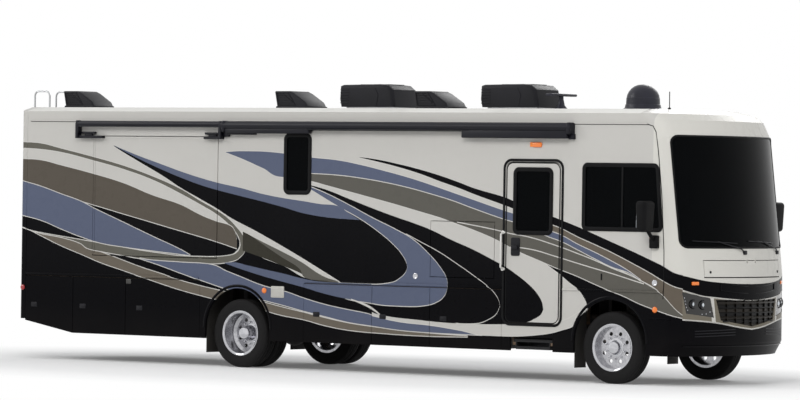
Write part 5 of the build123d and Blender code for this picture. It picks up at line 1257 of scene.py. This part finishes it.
class MOTORHOME_OT_side_fittings(bpy.types.Operator):
    """Handles, latches, lamps, plates and mouldings of the sides"""

    bl_idname = "motorhome.side_fittings"
    bl_label = "Side fittings"

    def execute(self, context):
        well = block("step_well_lining", (2.80, -0.93, 0.40), (3.62, -0.91, 0.74), 0.006)
        done(well, "root", "black_plastic")
        self.handles()
        self.latches()
        self.lamps()
        self.plates()
        self.mouldings()
        self.arches()
        return {"FINISHED"}

    def handles(self):
        x, top, foot = 2.731, 1.93, 1.45
        bar = tube("grab_bar", [
            (x, -SIDE_Y, top), (x, -1.335, top - 0.025), (x, -1.335, foot + 0.025), (x, -SIDE_Y, foot),
        ], 0.014, 3)
        profile = [(0, 0.0), (0, 0.03), (-0.006, 0.03), (-0.01, 0.016), (-0.01, 0.0)]
        feet = [lathe("grab_foot", profile, (x, -SIDE_Y, z), "Y", 20) for z in (top, foot)]
        soften(bar, 0.004)
        done(join("entry_grab_handle", [bar, *feet]), "root", "white_fitting")
        back = plate("entry_lock_plate", 2.86, 3.0, 1.625, 1.865, 0.025, 0.01)
        grip = block("entry_paddle", (2.88, -1.315, 1.71), (2.98, -1.286, 1.765), 0.008, 3)
        done(join("entry_door_handle", [back, grip]), "entry_door", "black_plastic")

    def latches(self):
        for tag, side, count, share in (("right", -1, 6, 0.19), ("left", 1, 3, 0.22)):
            for n in range(1, count + 1):
                name = f"storage_door_{tag}_{n}"
                low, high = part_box(name)
                x = low.x + (high.x - low.x) * share
                ring = plate("latch_rim", x - 0.055, x + 0.055, 0.735, 0.8, 0.012, 0.004, side)
                low, high = (x - 0.04, side * 1.281, 0.748), (x + 0.04, side * 1.288, 0.788)
                paddle = block("latch_paddle", low, high, 0.004)
                done(join(f"{name}_latch", [ring, paddle]), name, "black_plastic")

    def lamps(self):
        middle = lathe("marker_lamp_right_mid", [
            (0, 0), (0, 0.038), (-0.008, 0.038), (-0.014, 0.032), (-0.019, 0.018), (-0.021, 0),
        ], (-1.2495, -SIDE_Y, 1.065), "Y", 24)
        front = copied(middle, "marker_lamp_right_front", (6.38, 0, -0.085))
        for lamp in (middle, front):
            both(lamp, "root", "orange_lens")
        both(copied(middle, "marker_lamp_right_rear", (-4.36, 0, -0.06)), "root", "red_lens")

    def plates(self):
        """Plates and rings on the right side."""
        profile = [(0, 0.0), (0, 0.04), (-0.006, 0.04), (-0.01, 0.032), (-0.006, 0.026), (-0.005, 0.0)]
        for piece, body, finish in (
            (plate("louvred_plate", -1.13, -0.905, 0.975, 1.13, 0.012, 0.008), "root", "plate_blank"),
            (plate("cable_cover", -3.70, -3.61, 1.1, 1.165, 0.012, 0.008), "storage_door_right_3", "cast_metal"),
            (lathe("fuel_flap_ring", profile, (5.1215, -SIDE_Y, 1.323), "Y", 28), "root", "chrome"),
            (lathe("side_inlet_ring", profile, (1.3075, -SIDE_Y, 1.323), "Y", 28), "root", "chrome"),
            (plate("cap_key_latch", 4.286, 4.307, 1.34, 1.425, 0.009, 0.005), "root", "rubber_trim"),
            (plate("porch_lamp", 3.19, 3.335, 3.05, 3.115, 0.02, 0.022), "root", "orange_lens"),
        ):
            done(piece, body, finish)

    def mouldings(self):
        """Belt mouldings, drip rails with a dark strip under each as their painted shadow, and seam strips."""
        for n, (x0, x1) in enumerate(((-5.55, -2.4), (-0.55, 2.715), (3.69, 5.24))):
            strip = block(f"belt_moulding_right_{n + 1}", (x0, -1.294, 1.194), (x1, -1.279, 1.222), 0.003)
            both(strip, "root", "body_paint")
        for name, low, high, finish in (
            ("drip_rail_right", (-5.5, -1.295, 3.357), (4.98, -1.276, 3.374), "body_paint"),
            # The dark strip under each drip rail is a painted shadow of the rail
            ("drip_shade_right", (-5.5, -1.283, 3.349), (4.98, -1.276, 3.356), "rubber_trim"),
        ):
            both(block(name, low, high, 0.002), "root", finish)
        seam = [
            (x, skin((x, -3, z), AXES["Y"], SIDE_NODES)[0].y, z)
            for x, z in (
                (4.98, 3.357), (5.06, 3.335), (5.105, 3.26), (5.134, 3.1), (5.16, 2.9), (5.2125, 2.427),
                (5.2565, 1.744), (5.2635, 1.352), (5.253, 1.12),
            )
        ]
        both(tube("cap_seam_right", seam, 0.006, 1), "root", "rubber_trim")
        ridge = []
        for pixel in ((649, 318), (655, 318.3), (662, 318.8), (670, 319.4)):
            x, z = side_point(*pixel)
            ridge.append(skin((x, -3, z), AXES["Y"], (*SIDE_NODES, "front_bumper"))[0])
        both(tube("fender_ridge_right", ridge, 0.014, 3), "root", "skirt_black")
        rear = block("rear_seam_right", (-5.57, -1.2845, 1.24), (-5.556, -1.279, 3.49), 0.002)
        both(rear, "root", "body_paint")

    def arches(self):
        radius, z, steps = 0.585, 0.535, 24
        for n, axle in enumerate(AXLE_X):
            for side in (-1, 1):
                centre = (axle, side * 1.279, z)
                angles = [math.pi * step / steps for step in range(steps + 1)]
                points = [(axle + radius * math.cos(a), centre[1], z + radius * math.sin(a)) for a in angles]
                lip = tube(f"wheel_arch_lip_{n + 1}_{side_name(side)}", points, 0.02, 3)
                scaled(lip, (1, 0.5, 1), centre)
                done(lip, "root", "skirt_black")


class MOTORHOME_OT_wheels(bpy.types.Operator):
    """Tyres with ribs, nuts and hub covers"""

    bl_idname = "motorhome.wheels"
    bl_label = "Wheels"

    HALF_PROFILE = [
        (0.0, 0.470), (0.006, 0.470), (0.008, 0.459), (0.017, 0.459), (0.019, 0.470), (0.046, 0.4695),
        (0.048, 0.459), (0.057, 0.459), (0.059, 0.469), (0.083, 0.467), (0.096, 0.461), (0.105, 0.45),
        (0.108, 0.436), (0.113, 0.425), (0.115, 0.412), (0.1175, 0.385), (0.116, 0.36), (0.1125, 0.342),
        (0.114, 0.336), (0.109, 0.322), (0.103, 0.309), (0.094, 0.297), (0.084, 0.288), (0.072, 0.2865),
    ]
    BEAD_PROFILE = [
        (0, 0.282), (-0.012, 0.286), (-0.018, 0.298), (-0.016, 0.309), (-0.007, 0.311), (0.004, 0.303),
        (0.004, 0.284), (0, 0.282),
    ]

    def execute(self, context):
        profile = [(-a, r) for a, r in reversed(self.HALF_PROFILE[1:])] + self.HALF_PROFILE
        profile.append(profile[0])
        front = lathe("tyre_tread_front_right", profile, (AXLE_X[0], -WHEEL_Y, AXLE_Z), "Y", 80)
        done(front, "wheel_front_right", "tyre_rubber", ("tyre_front_right",))
        far = copied(front, "tyre_tread_front_left", (0, 2 * WHEEL_Y, 0))
        done(far, "wheel_front_left", "tyre_rubber", ("tyre_front_left",))
        for side in (-1, 1):
            tag = side_name(side)
            for place, y in (("outer", WHEEL_Y), ("inner", WHEEL_Y - TWIN_GAP)):
                move = (AXLE_X[1] - AXLE_X[0], side * y + WHEEL_Y, 0)
                tread = copied(front, f"tyre_tread_rear_{place}_{tag}", move)
                done(tread, f"wheels_rear_{tag}", "tyre_rubber", (f"tyres_rear_{tag}",))
        axles = (("front", AXLE_X[0], "wheel_front_right"), ("rear", AXLE_X[1], "wheels_rear_right"))
        # The rim's disc and the hub's end are distances from the middle
        for (label, axle, body), disc, tip in zip(axles, (1.1305, 0.9835), (1.1745, 1.1285)):
            both(self.hub(label, axle, disc, tip), body, "chrome")
        for label, axle, body in axles:
            ring = lathe(f"rim_bead_{label}_right", self.BEAD_PROFILE, (axle, -1.196, AXLE_Z), "Y", 72)
            both(ring, body, "chrome")
        return {"FINISHED"}

    def hub(self, label, axle, disc, tip):
        """Stepped hub cover with a ring of nuts and a valve."""
        shell = lathe(f"hub_cover_{label}", [
            (-disc + 0.002, 0.125), (-disc - 0.004, 0.125), (-disc - 0.006, 0.118), (-disc - 0.006, 0.095),
            (-disc - 0.012, 0.088), (-tip - 0.004, 0.083), (-tip - 0.014, 0.074), (-tip - 0.018, 0.045),
            (-tip - 0.020, 0.02), (-tip - 0.022, 0.0),
        ], (axle, 0, AXLE_Z), "Y", 48)
        nuts = [lathe("wheel_nut", [
            (-disc, 0.0), (-disc, 0.0185), (-disc - 0.004, 0.0185), (-disc - 0.005, 0.0145),
            (-disc - 0.028, 0.013), (-disc - 0.033, 0.008), (-disc - 0.034, 0.0),
        ], (axle, 0, AXLE_Z + 0.146), "Y", 12)]
        count = sizes().wheel_nuts
        for n in range(1, count):
            nuts.append(copied(nuts[0], "wheel_nut"))
            turned(nuts[-1], math.tau * n / count, "Y", (axle, 0, AXLE_Z))
        valve = tube("valve", [(axle + 0.24, -disc, AXLE_Z), (axle + 0.243, -disc - 0.045, AXLE_Z)], 0.005)
        return join(f"hub_{label}_right", [shell, *nuts, valve])


class MOTORHOME_OT_nose(bpy.types.Operator):
    """Wipers, lines, lamps, grille and bumper details of the front"""

    bl_idname = "motorhome.nose"
    bl_label = "Front"

    # Lamp centres as distance from the middle, height and radius, and the dots round them
    BOWLS = ((0.905, 1.05, 0.052), (1.045, 1.06, 0.05))
    DOTS = (
        (0.80, 0.96), (0.86, 0.935), (0.92, 0.93), (1.125, 0.985), (1.14, 1.02), (1.15, 1.06), (1.158, 1.1),
        (1.165, 1.14),
    )

    def execute(self, context):
        for n, y in enumerate((-0.142, 0.836)):
            self.wiper(n, y)
        self.lines()
        for side in (-1, 1):
            self.headlamp(side)
        self.grille()
        self.bumper()
        return {"FINISHED"}

    def wiper(self, n, y):
        base = nose_point(y, 1.725, 0.006, GLASS_NODES)
        knee = nose_point(y - 0.1, 1.765, 0.03, GLASS_NODES)
        end = nose_point(y - 0.52, 1.862, 0.026, GLASS_NODES)
        arm = tube("arm", [base, knee, end], 0.009)
        low, high = base + Vector((-0.02, -0.035, -0.03)), base + Vector((0.016, 0.035, 0.022))
        cover = block("cover", low, high, 0.009, 3)
        length = sizes().wiper_length
        places = [
            (end.y + length * (share - 0.5), end.z - 0.012 + 0.03 * (0.5 - share))
            for share in (0, 0.2, 0.4, 0.6, 0.8, 1)
        ]
        points = nose_line(places, 0.014, GLASS_NODES)
        blade = tube("blade", points, 0.008, 1)
        spine = tube("spine", [p + Vector((0.012, 0, 0.003)) for p in points[1:5]], 0.006, 1)
        link = tube("link", [end, (points[2] + points[3]) / 2 + Vector((0.01, 0, 0))], 0.01, 1)
        piece = join(f"wiper_{n + 1}", [arm, cover, blade, spine, link])
        soften(piece, 0.002, 1)
        done(piece, "root", "black_plastic")

    def lines(self):
        """Bright strips above and below the grille and lamps."""
        for label, curve in (("upper", BAND_FOOT), ("lower", NOSE_FOOT)):
            across = [1.16 * step / 24 for step in range(-24, 25)]
            points = nose_line([(y, self.height(curve, abs(y))) for y in across], -0.002)
            done(tube(f"nose_strip_{label}", points, 0.0075, 1), "root", "silver_trim")

    def height(self, curve, y):
        for (y0, z0), (y1, z1) in zip(curve, curve[1:]):
            if y <= y1:
                return z0 + (z1 - z0) * (y - y0) / (y1 - y0)
        return curve[-1][1]

    def headlamp(self, side):
        tag = side_name(side)
        bowls, rims = [], []
        for y, z, r in self.BOWLS:
            spot = nose_point(side * y, z, 0.0, ("lamps", "front_cap"))
            bowls.append(lathe("bowl", [
                (-0.004, 0), (-0.004, r * 0.5), (0.004, r * 0.5), (0.008, r * 0.4), (0.01, r * 0.2), (0.0105, 0),
            ], spot, "X", 28))
            rims.append(lathe("bezel", [
                (-0.004, r), (0.007, r), (0.009, r + 0.006), (0.004, r + 0.013), (-0.006, r + 0.013), (-0.004, r),
            ], spot, "X", 28))
        done(join(f"headlamp_bowls_{tag}", bowls), "root", "mirror_silver")
        done(join(f"headlamp_bezels_{tag}", rims), "root", "black_plastic")
        spots = nose_line([(side * y, z) for y, z in self.DOTS], 0.0, ("lamps", "front_cap", "front_bumper"))
        profile = [(-0.004, 0.009), (0.003, 0.009), (0.006, 0.005), (0.007, 0)]
        dots = [lathe("dot", profile, spot, "X", 12) for spot in spots]
        done(join(f"headlamp_dots_{tag}", dots), "root", "chrome")
        marker = block(f"nose_marker_{tag}", (-0.09, -0.055, -0.022), (0.012, 0.055, 0.022), 0.008, 3)
        turned(marker, -math.atan2(side * 0.39, 1), "Z", (0, 0, 0))
        moved(marker, nose_point(side * 1.03, 1.325, 0.0, ("front_cap",)))
        done(marker, "root", "orange_lens")

    def grille(self):
        """Level bars over the dark grille, and the upright between them."""
        for n, z in enumerate((0.835, 0.895, 0.955, 1.015, 1.075)):
            half = 0.60 + 0.09 * (z - 0.85) / 0.26
            points = nose_line([(half * s / 8, z) for s in range(-8, 9)], 0.003, GRILLE_NODES)
            done(tube(f"grille_bar_{n + 1}", points, 0.009, 1), "root", "grille_plastic")
        spine = nose_line([(0, z) for z in (0.79, 0.87, 0.95, 1.03, 1.1)], 0.001, GRILLE_NODES)
        done(tube("grille_spine", spine, 0.01, 2), "root", "grille_plastic")

    def bumper(self):
        for side in (-1, 1):
            slats = []
            for z in (0.655, 0.69, 0.725):
                places = [(side * y, z - 0.03 * (y - 0.6)) for y in (0.36, 0.5, 0.64, 0.78, 0.92, 1.03)]
                slats.append(tube("slat", nose_line(places, 0.001, ("front_bumper",)), 0.007, 1))
            done(join(f"bumper_slats_{side_name(side)}", slats), "root", "black_plastic")
        lip = nose_line([(1.17 * s / 16, 0.52) for s in range(-16, 17)], 0.002, ("front_bumper",))
        done(tube("bumper_lip", lip, 0.01, 3), "root", "skirt_black")
        slot = [(turn * 0.64 * k / 10, z) for z, turn in ((1.195, 1), (1.285, -1)) for k in range(-10, 11)]
        slot.append(slot[0])
        edge = nose_line([(y, z + 0.1 * y * y) for y, z in slot], 0.002, ("front_cap",))
        done(tube("band_opening", edge, 0.008, 2), "root", "skirt_black")
        profile = [(-0.004, 0.0), (-0.004, 0.017), (0.006, 0.017), (0.009, 0.011), (0.009, 0)]
        spots = nose_line([(-0.8, 1.47), (0.8, 1.47)], 0.0, ("hood", "front_cap"))
        done(join("hood_knobs", [lathe("knob", profile, spot, "X", 16) for spot in spots]), "hood", "black_plastic")


class MOTORHOME_OT_mirrors(bpy.types.Operator):
    """Mirror heads, glasses, arms and feet"""

    bl_idname = "motorhome.mirrors"
    bl_label = "Mirrors"

    def execute(self, context):
        head = block("head", (5.06, -1.6855, 1.985), (5.226, -1.43, 2.375), 0.05, 5)
        edit(head, "FACE", lambda p, n: n.x < -0.95)
        bpy.ops.mesh.inset(thickness=0.012)
        bpy.ops.mesh.extrude_region_move(TRANSFORM_OT_translate={"value": (0.012, 0, 0)})
        leave()
        scaled(head, (0.86, 0.86, 1), (5.15, -1.56, 2.06), "VERT", lambda p: p.z < 2.06)
        foot = block("foot", (5.06, -1.345, 1.765), (5.185, -1.27, 1.935), 0.02, 4)
        arm = tube("arm", [(5.12, -1.32, 1.87), (5.135, -1.42, 1.935), (5.145, -1.52, 2.02)], 0.025, 4)
        profile = [(-0.012, 0.0), (-0.012, 0.034), (0.012, 0.034), (0.012, 0.0)]
        collar = lathe("collar", profile, (5.145, -1.53, 1.995), "Z", 24)
        both(join("mirror_right", [head, foot, arm, collar]), "root", "rubber_trim", ("mirrors",))
        for label, z0, z1 in (("upper", 2.15, 2.345), ("lower", 2.03, 2.135)):
            glass = block(f"mirror_glass_{label}_right", (5.068, -1.65, z0), (5.0725, -1.465, z1), 0.0015)
            both(glass, "root", "mirror_silver")
        lamp = block("mirror_repeater_right", (5.075, -1.354, 1.895), (5.12, -1.338, 1.935), 0.006, 3)
        both(lamp, "root", "orange_lens")
        return {"FINISHED"}


class MOTORHOME_OT_roof_gear(bpy.types.Operator):
    """Air conditioners, vent hoods, aerials, awnings and ladder fittings"""

    bl_idname = "motorhome.roof_gear"
    bl_label = "Roof gear"

    CONDITIONER_STEP = (2.38, 0, 0)
    VENT_STEPS = (3.8302, 6.2103)

    def execute(self, context):
        self.conditioners()
        self.vents()
        self.aerials()
        self.awning()
        for side, low_x, high_x in ((-1, -4.595, -1.981), (1, -1.607, 3.059)):
            self.topper(side, low_x, high_x)
        self.ladder()
        return {"FINISHED"}

    def conditioners(self):
        pan = block("air_conditioner_pan_1", (-0.66, -0.27, ON_ROOF), (0.15, 0.27, 3.6), 0.008)
        cover = outline("cover", [
            (-0.755, 3.592), (-0.779, 3.70), (-0.768, 3.88), (-0.72, 3.895), (-0.1, 3.9045), (0.05, 3.89),
            (0.13, 3.83), (0.171, 3.592),
        ], -0.29, 0.29)
        rounded(cover, 0.05, 5, "EDGE", lambda p: abs(p.y) > 0.28 and p.z > 3.6)
        profile = [(-0.13, 3.61), (-0.1, 3.76), (-0.16, 3.86), (-0.17, 3.86), (-0.115, 3.76), (-0.145, 3.61)]
        ribs = [outline("rib", profile, y, y + 0.006, 0.002, 1) for y in (-0.2945, 0.2885)]
        for z in [3.64 + n * 0.036 for n in range(6)]:
            ribs.append(block("slat", (-0.75, -0.2945, z), (-0.6, 0.2945, z + 0.014), 0.004))
        for x in (-0.5, -0.2):
            ribs.append(block("ridge", (x, -0.17, 3.893), (x + 0.2, 0.17, 3.9045), 0.004))
        gear = join("air_conditioner_1", [cover, *ribs])
        for first, finish, nodes in ((gear, "black_plastic", ("air_conditioners",)), (pan, "ladder_metal", ())):
            twin = copied(first, first.name.replace("1", "2"), self.CONDITIONER_STEP)
            for piece in (first, twin):
                done(piece, "root", finish, nodes)

    def vents(self):
        hood = outline("hood", [
            (-5.39, 3.585), (-5.433, 3.79), (-5.42, 3.799), (-5.17, 3.799), (-5.1, 3.77), (-4.9, 3.65),
            (-4.857, 3.585),
        ], -0.67, -0.23)
        rounded(hood, 0.02, 3, "EDGE", lambda p: abs(abs(p.y + 0.45) - 0.22) < 0.01 and p.z > 3.59)
        flange = block("flange", (-5.4, -0.678, ON_ROOF), (-4.855, -0.222, 3.592), 0.008)
        bars = []
        for y in (-0.673, -0.223):
            for a, b, c, d in (
                (-5.365, 3.61, -5.395, 3.775), (-5.395, 3.775, -5.19, 3.775), (-5.19, 3.775, -5.07, 3.61),
                (-5.07, 3.61, -5.365, 3.61), (-5.3, 3.775, -5.12, 3.65),
            ):
                bars.append(tube("bar", [(a, y, b), (c, y, d)], 0.006, 1))
            for n in range(4):
                z = 3.64 + n * 0.034
                bars.append(tube("louvre", [(-5.375, y, z), (-5.1 - n * 0.02, y, z)], 0.0035, 1))
        lid = join("vent_cover_1", [hood, flange, *bars])
        done(lid, "root", "black_plastic", ("vent_covers",))
        for n, step in enumerate(self.VENT_STEPS):
            done(copied(lid, f"vent_cover_{n + 2}", (step, 0, 0)), "root", "black_plastic", ("vent_covers",))

    def aerials(self):
        nodes = ("roof_aerials",)
        dome = lathe("dome_cover", [
            (0, 0.0), (0, 0.262), (0.018, 0.262), (0.03, 0.243), (0.075, 0.232), (0.08, 0.226), (0.16, 0.222),
            (0.165, 0.218), (0.2, 0.212), (0.245, 0.19), (0.285, 0.158), (0.315, 0.118), (0.335, 0.07),
            (0.343, 0.0),
        ], (4.0462, 0, ON_ROOF), "Z", 48)
        done(dome, "root", "aerial_plastic", nodes, 28)
        x, y = 4.925, -0.7
        whip = tube("whip", [(x, y, 3.56), (x, y, 3.79)], 0.006, 2)
        foot = lathe("foot", [
            (0, 0.0), (0, 0.026), (0.012, 0.024), (0.03, 0.01), (0.03, 0),
        ], (x, y, 3.556), "Z", 20)
        done(join("whip_aerial", [whip, foot]), "root", "rubber_trim", nodes)
        post = lathe("post", [
            (0, 0.0), (0, 0.09), (0.02, 0.085), (0.06, 0.05), (0.14, 0.032), (0.19, 0.03), (0.19, 0),
        ], (2.8045, -0.1, ON_ROOF), "Z", 24)
        wing = block("wing", (2.755, -0.4, 3.742), (2.86, 0.2, 3.778), 0.014, 3)
        scaled(wing, (0.6, 1, 0.6), (2.8, -0.1, 3.76), "FACE", lambda p, n: abs(n.y) > 0.9)
        done(join("television_aerial", [post, wing]), "root", "aerial_plastic", nodes)

    def awning(self):
        caps = []
        for x in (-1.955, 3.785):
            caps.append(block("cap", (x, -1.403, 3.22), (x + 0.06, -1.281, 3.376), 0.02, 4))
            caps.append(block("foot", (x - 0.01, -1.33, 3.155), (x + 0.08, -1.281, 3.23), 0.01))
        done(join("awning_end_caps", caps), "root", "awning_case")
        arms = [block("arm", *row) for row in (
            ((-1.9, -1.385, 3.205), (-0.45, -1.3, 3.27), 0.012, 3),
            ((2.1, -1.39, 3.165), (3.79, -1.3, 3.27), 0.014, 3),
            ((-1.86, -1.36, 3.185), (-1.4, -1.3, 3.21), 0.006, 2),
        )]
        done(join("awning_arms", arms), "root", "awning_case")
        roll = block("awning_cloth_edge", (-0.5, -1.4035, 3.262), (2.2, -1.392, 3.27), 0.003, 1)
        done(roll, "root", "awning_cloth")

    def topper(self, side, x0, x1):
        """Roll and brackets of a slide-out's awning."""
        tag, wall = side_name(side), side * 1.284
        body = f"slide_{tag}"
        low, high = (x0 + 0.05, side * 1.352, 3.284), (x1 - 0.05, side * 1.3725, 3.298)
        lip = block(f"topper_{tag}_roll", low, high, 0.004)
        done(lip, body, "awning_cloth")
        ends = []
        for x in (x0, x1 - 0.05):
            ends.append(block("end", (x, wall, 3.2), (x + 0.05, side * 1.3725, 3.372), 0.012, 3))
        for x in (x0 + 0.06, x1 - 0.32):
            ends.append(block("foot", (x, wall, 3.185), (x + 0.26, side * 1.325, 3.215), 0.008))
            ends.append(block("foot", (x + 0.06, wall, 3.152), (x + 0.2, side * 1.315, 3.19), 0.008))
        done(join(f"topper_{tag}_brackets", ends), body, "awning_case")

    def ladder(self):
        low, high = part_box("ladder")
        feet = []
        for z in (1.3, 2.2, 3.1):
            for y in (low.y + 0.03, high.y - 0.03):
                feet.append(block("foot", (-5.72, y - 0.03, z), (REAR_X, y + 0.03, z + 0.06), 0.01, 3))
        done(join("ladder_feet", feet), "root", "black_plastic")


class MOTORHOME_OT_rear(bpy.types.Operator):
    """Lamps, blank plate and trim of the rear"""

    bl_idname = "motorhome.rear"
    bl_label = "Rear"

    BEZEL = [(0, 0.062), (-0.008, 0.062), (-0.012, 0.072), (-0.006, 0.08), (0, 0.08), (0, 0.062)]
    LENS = [(0, 0.0), (0, 0.063), (-0.008, 0.06), (-0.013, 0.035), (-0.015, 0.0)]

    def execute(self, context):
        for side in (-1, 1):
            tag = side_name(side)
            bezels = []
            for n, z, finish in ((1, 1.5, "red_lens"), (2, 1.68, "orange_lens")):
                place = (-5.6735, side * 1.09, z)
                bezels.append(lathe("bezel", self.BEZEL, place, "X", 32))
                done(lathe(f"tail_lamp_{tag}_{n}", self.LENS, place, "X", 32), "root", finish)
            done(join(f"tail_bezels_{tag}", bezels), "root", "chrome")
        board = block("plate_board", (-5.683, -0.19, 1.02), (REAR_X, 0.19, 1.19), 0.006)
        edit(board, "FACE", lambda p, n: n.x < -0.9)
        bpy.ops.mesh.inset(thickness=0.012, depth=-0.003)
        leave()
        done(board, "root", "plate_blank")
        strip = block("rear_bumper_strip", (-5.69, -1.2, 0.9), (REAR_X, 1.2, 0.955), 0.006, 3)
        done(strip, "root", "skirt_black")
        done(block("rear_window", (-5.68, -0.2, 2.3), (-5.671, 0.9, 2.85), 0.004), "root", "dark_glass")
        return {"FINISHED"}


class MOTORHOME_OT_cab(bpy.types.Operator):
    """Padded cab seats, instruments and steering wheel hub"""

    bl_idname = "motorhome.cab"
    bl_label = "Cab"

    WHEEL_CENTRE = (5.1835, 0.62, 1.79)
    PEDESTAL = [
        (0, 0.0), (0, 0.2), (0.02, 0.2), (0.04, 0.13), (0.2, 0.11), (0.235, 0.19), (0.262, 0.2), (0.262, 0.0),
    ]

    def execute(self, context):
        for side in (-1, 1):
            self.seat(side_name(side), side * 0.62)
        self.instruments()
        return {"FINISHED"}

    def pad(self, name, low, high, crown, lean=0.0):
        """Crowned pad whose sides pull in between its corners."""
        pad = block(name, low, high)
        edit(pad, "FACE")
        bpy.ops.mesh.subdivide(number_cuts=5)
        leave()
        low, high = Vector(low), Vector(high)
        centre, half = (low + high) / 2, (high - low) / 2
        thin = half[:].index(min(half))
        others = [i for i in range(3) if i != thin]
        for corner in pad.data.vertices:
            u = [(corner.co[i] - centre[i]) / half[i] for i in range(3)]
            swell = (1 - u[others[0]] ** 2) * (1 - u[others[1]] ** 2)
            if abs(u[thin]) > 0.99:
                corner.co[thin] += math.copysign(crown * (swell - 0.75), u[thin])
            for i, other in (others, others[::-1]):
                pull = 0.02 * (1 - u[other] ** 2)
                corner.co[i] -= math.copysign(pull * abs(u[i]) ** 3, u[i])
            corner.co.x -= lean * (corner.co.z - low.z) / (high.z - low.z)
        soften(pad, 0.018, angle_limit=math.radians(50))
        modify(pad, "SUBSURF", levels=1, render_levels=1)
        return pad

    def seat(self, tag, y):
        nodes = ("cab_seats",)
        for part, low, high, crown, lean, fill in (
            ("cushion", (4.4, y - 0.25, 1.44), (4.9, y + 0.25, 1.558), 0.02, 0.0, 0.7),
            ("back", (4.385, y - 0.245, 1.56), (4.505, y + 0.245, 2.14), 0.02, 0.11, 0.7),
            ("headrest", (4.26, y - 0.14, 2.15), (4.36, y + 0.14, 2.33), 0.014, 0.02, 0.8),
        ):
            pad = self.pad(f"seat_{part}_{tag}", low, high, crown, lean)
            done(pad, "root", "seat_leather", nodes, 60)
        base = lathe(f"seat_pedestal_{tag}", self.PEDESTAL, (4.65, y, 1.184), "Z", 32)
        done(base, "root", "black_plastic", nodes)
        seams = [
            tube("seam", [(4.43, across, 1.568), (4.65, across, 1.572), (4.87, across, 1.566)], 0.003, 1)
            for across in (y - 0.12, y + 0.12)
        ]
        done(join(f"seat_seams_{tag}", seams), "root", "seam_thread")

    def instruments(self):
        hub = lathe("steering_hub", [
            (-0.02, 0), (-0.02, 0.055), (0.0, 0.07), (0.02, 0.065), (0.03, 0.04), (0.032, 0),
        ], self.WHEEL_CENTRE, "Z", 28)
        turned(hub, math.radians(40), "Y", self.WHEEL_CENTRE)
        done(hub, "steering_wheel", "dash_plastic")
        done(block("instrument_hood", (5.3, 0.38, 1.72), (5.52, 0.86, 1.795), 0.03, 4), "root", "dash_plastic")
        done(block("centre_screen", (5.232, -0.16, 1.52), (5.245, 0.16, 1.7), 0.006), "root", "dark_glass")
        vents = [
            block("air_vent", (5.228, y - 0.06, 1.61), (5.242, y + 0.06, 1.68), 0.006)
            for y in (-0.95, -0.5, 0.3, 1.02)
        ]
        done(join("dash_air_vents", vents), "root", "black_plastic")


class MOTORHOME_PT_panel(bpy.types.Panel):
    """Sizes, colours and pieces of the motorhome"""

    bl_idname = "MOTORHOME_PT_panel"
    bl_label = "Motorhome"
    bl_space_type = "VIEW_3D"
    bl_region_type = "UI"
    bl_category = "Motorhome"

    def draw(self, context):
        for group in (context.scene.motorhome_sizes, context.scene.motorhome_colours):
            for key in group.__annotations__:
                self.layout.prop(group, key)
        for name in STEPS:
            self.layout.operator(f"motorhome.{name}")


STEPS = [
    "stage", "finishes", "window_frames", "side_fittings", "wheels", "nose", "mirrors", "roof_gear",
    "rear", "cab",
]

CLASSES = [
    MotorhomeColours, MotorhomeSizes, MOTORHOME_OT_stage, MOTORHOME_OT_finishes,
    MOTORHOME_OT_window_frames, MOTORHOME_OT_side_fittings, MOTORHOME_OT_wheels, MOTORHOME_OT_nose,
    MOTORHOME_OT_mirrors, MOTORHOME_OT_roof_gear, MOTORHOME_OT_rear, MOTORHOME_OT_cab,
    MOTORHOME_PT_panel,
]


def register():
    for item in CLASSES:
        bpy.utils.register_class(item)
    bpy.types.Scene.motorhome_colours = PointerProperty(type=MotorhomeColours)
    bpy.types.Scene.motorhome_sizes = PointerProperty(type=MotorhomeSizes)


def unregister():
    del bpy.types.Scene.motorhome_colours
    del bpy.types.Scene.motorhome_sizes
    for item in reversed(CLASSES):
        bpy.utils.unregister_class(item)


def main():
    register()
    for name in STEPS:
        getattr(bpy.ops.motorhome, name)()


if __name__ == "__main__":
    main()
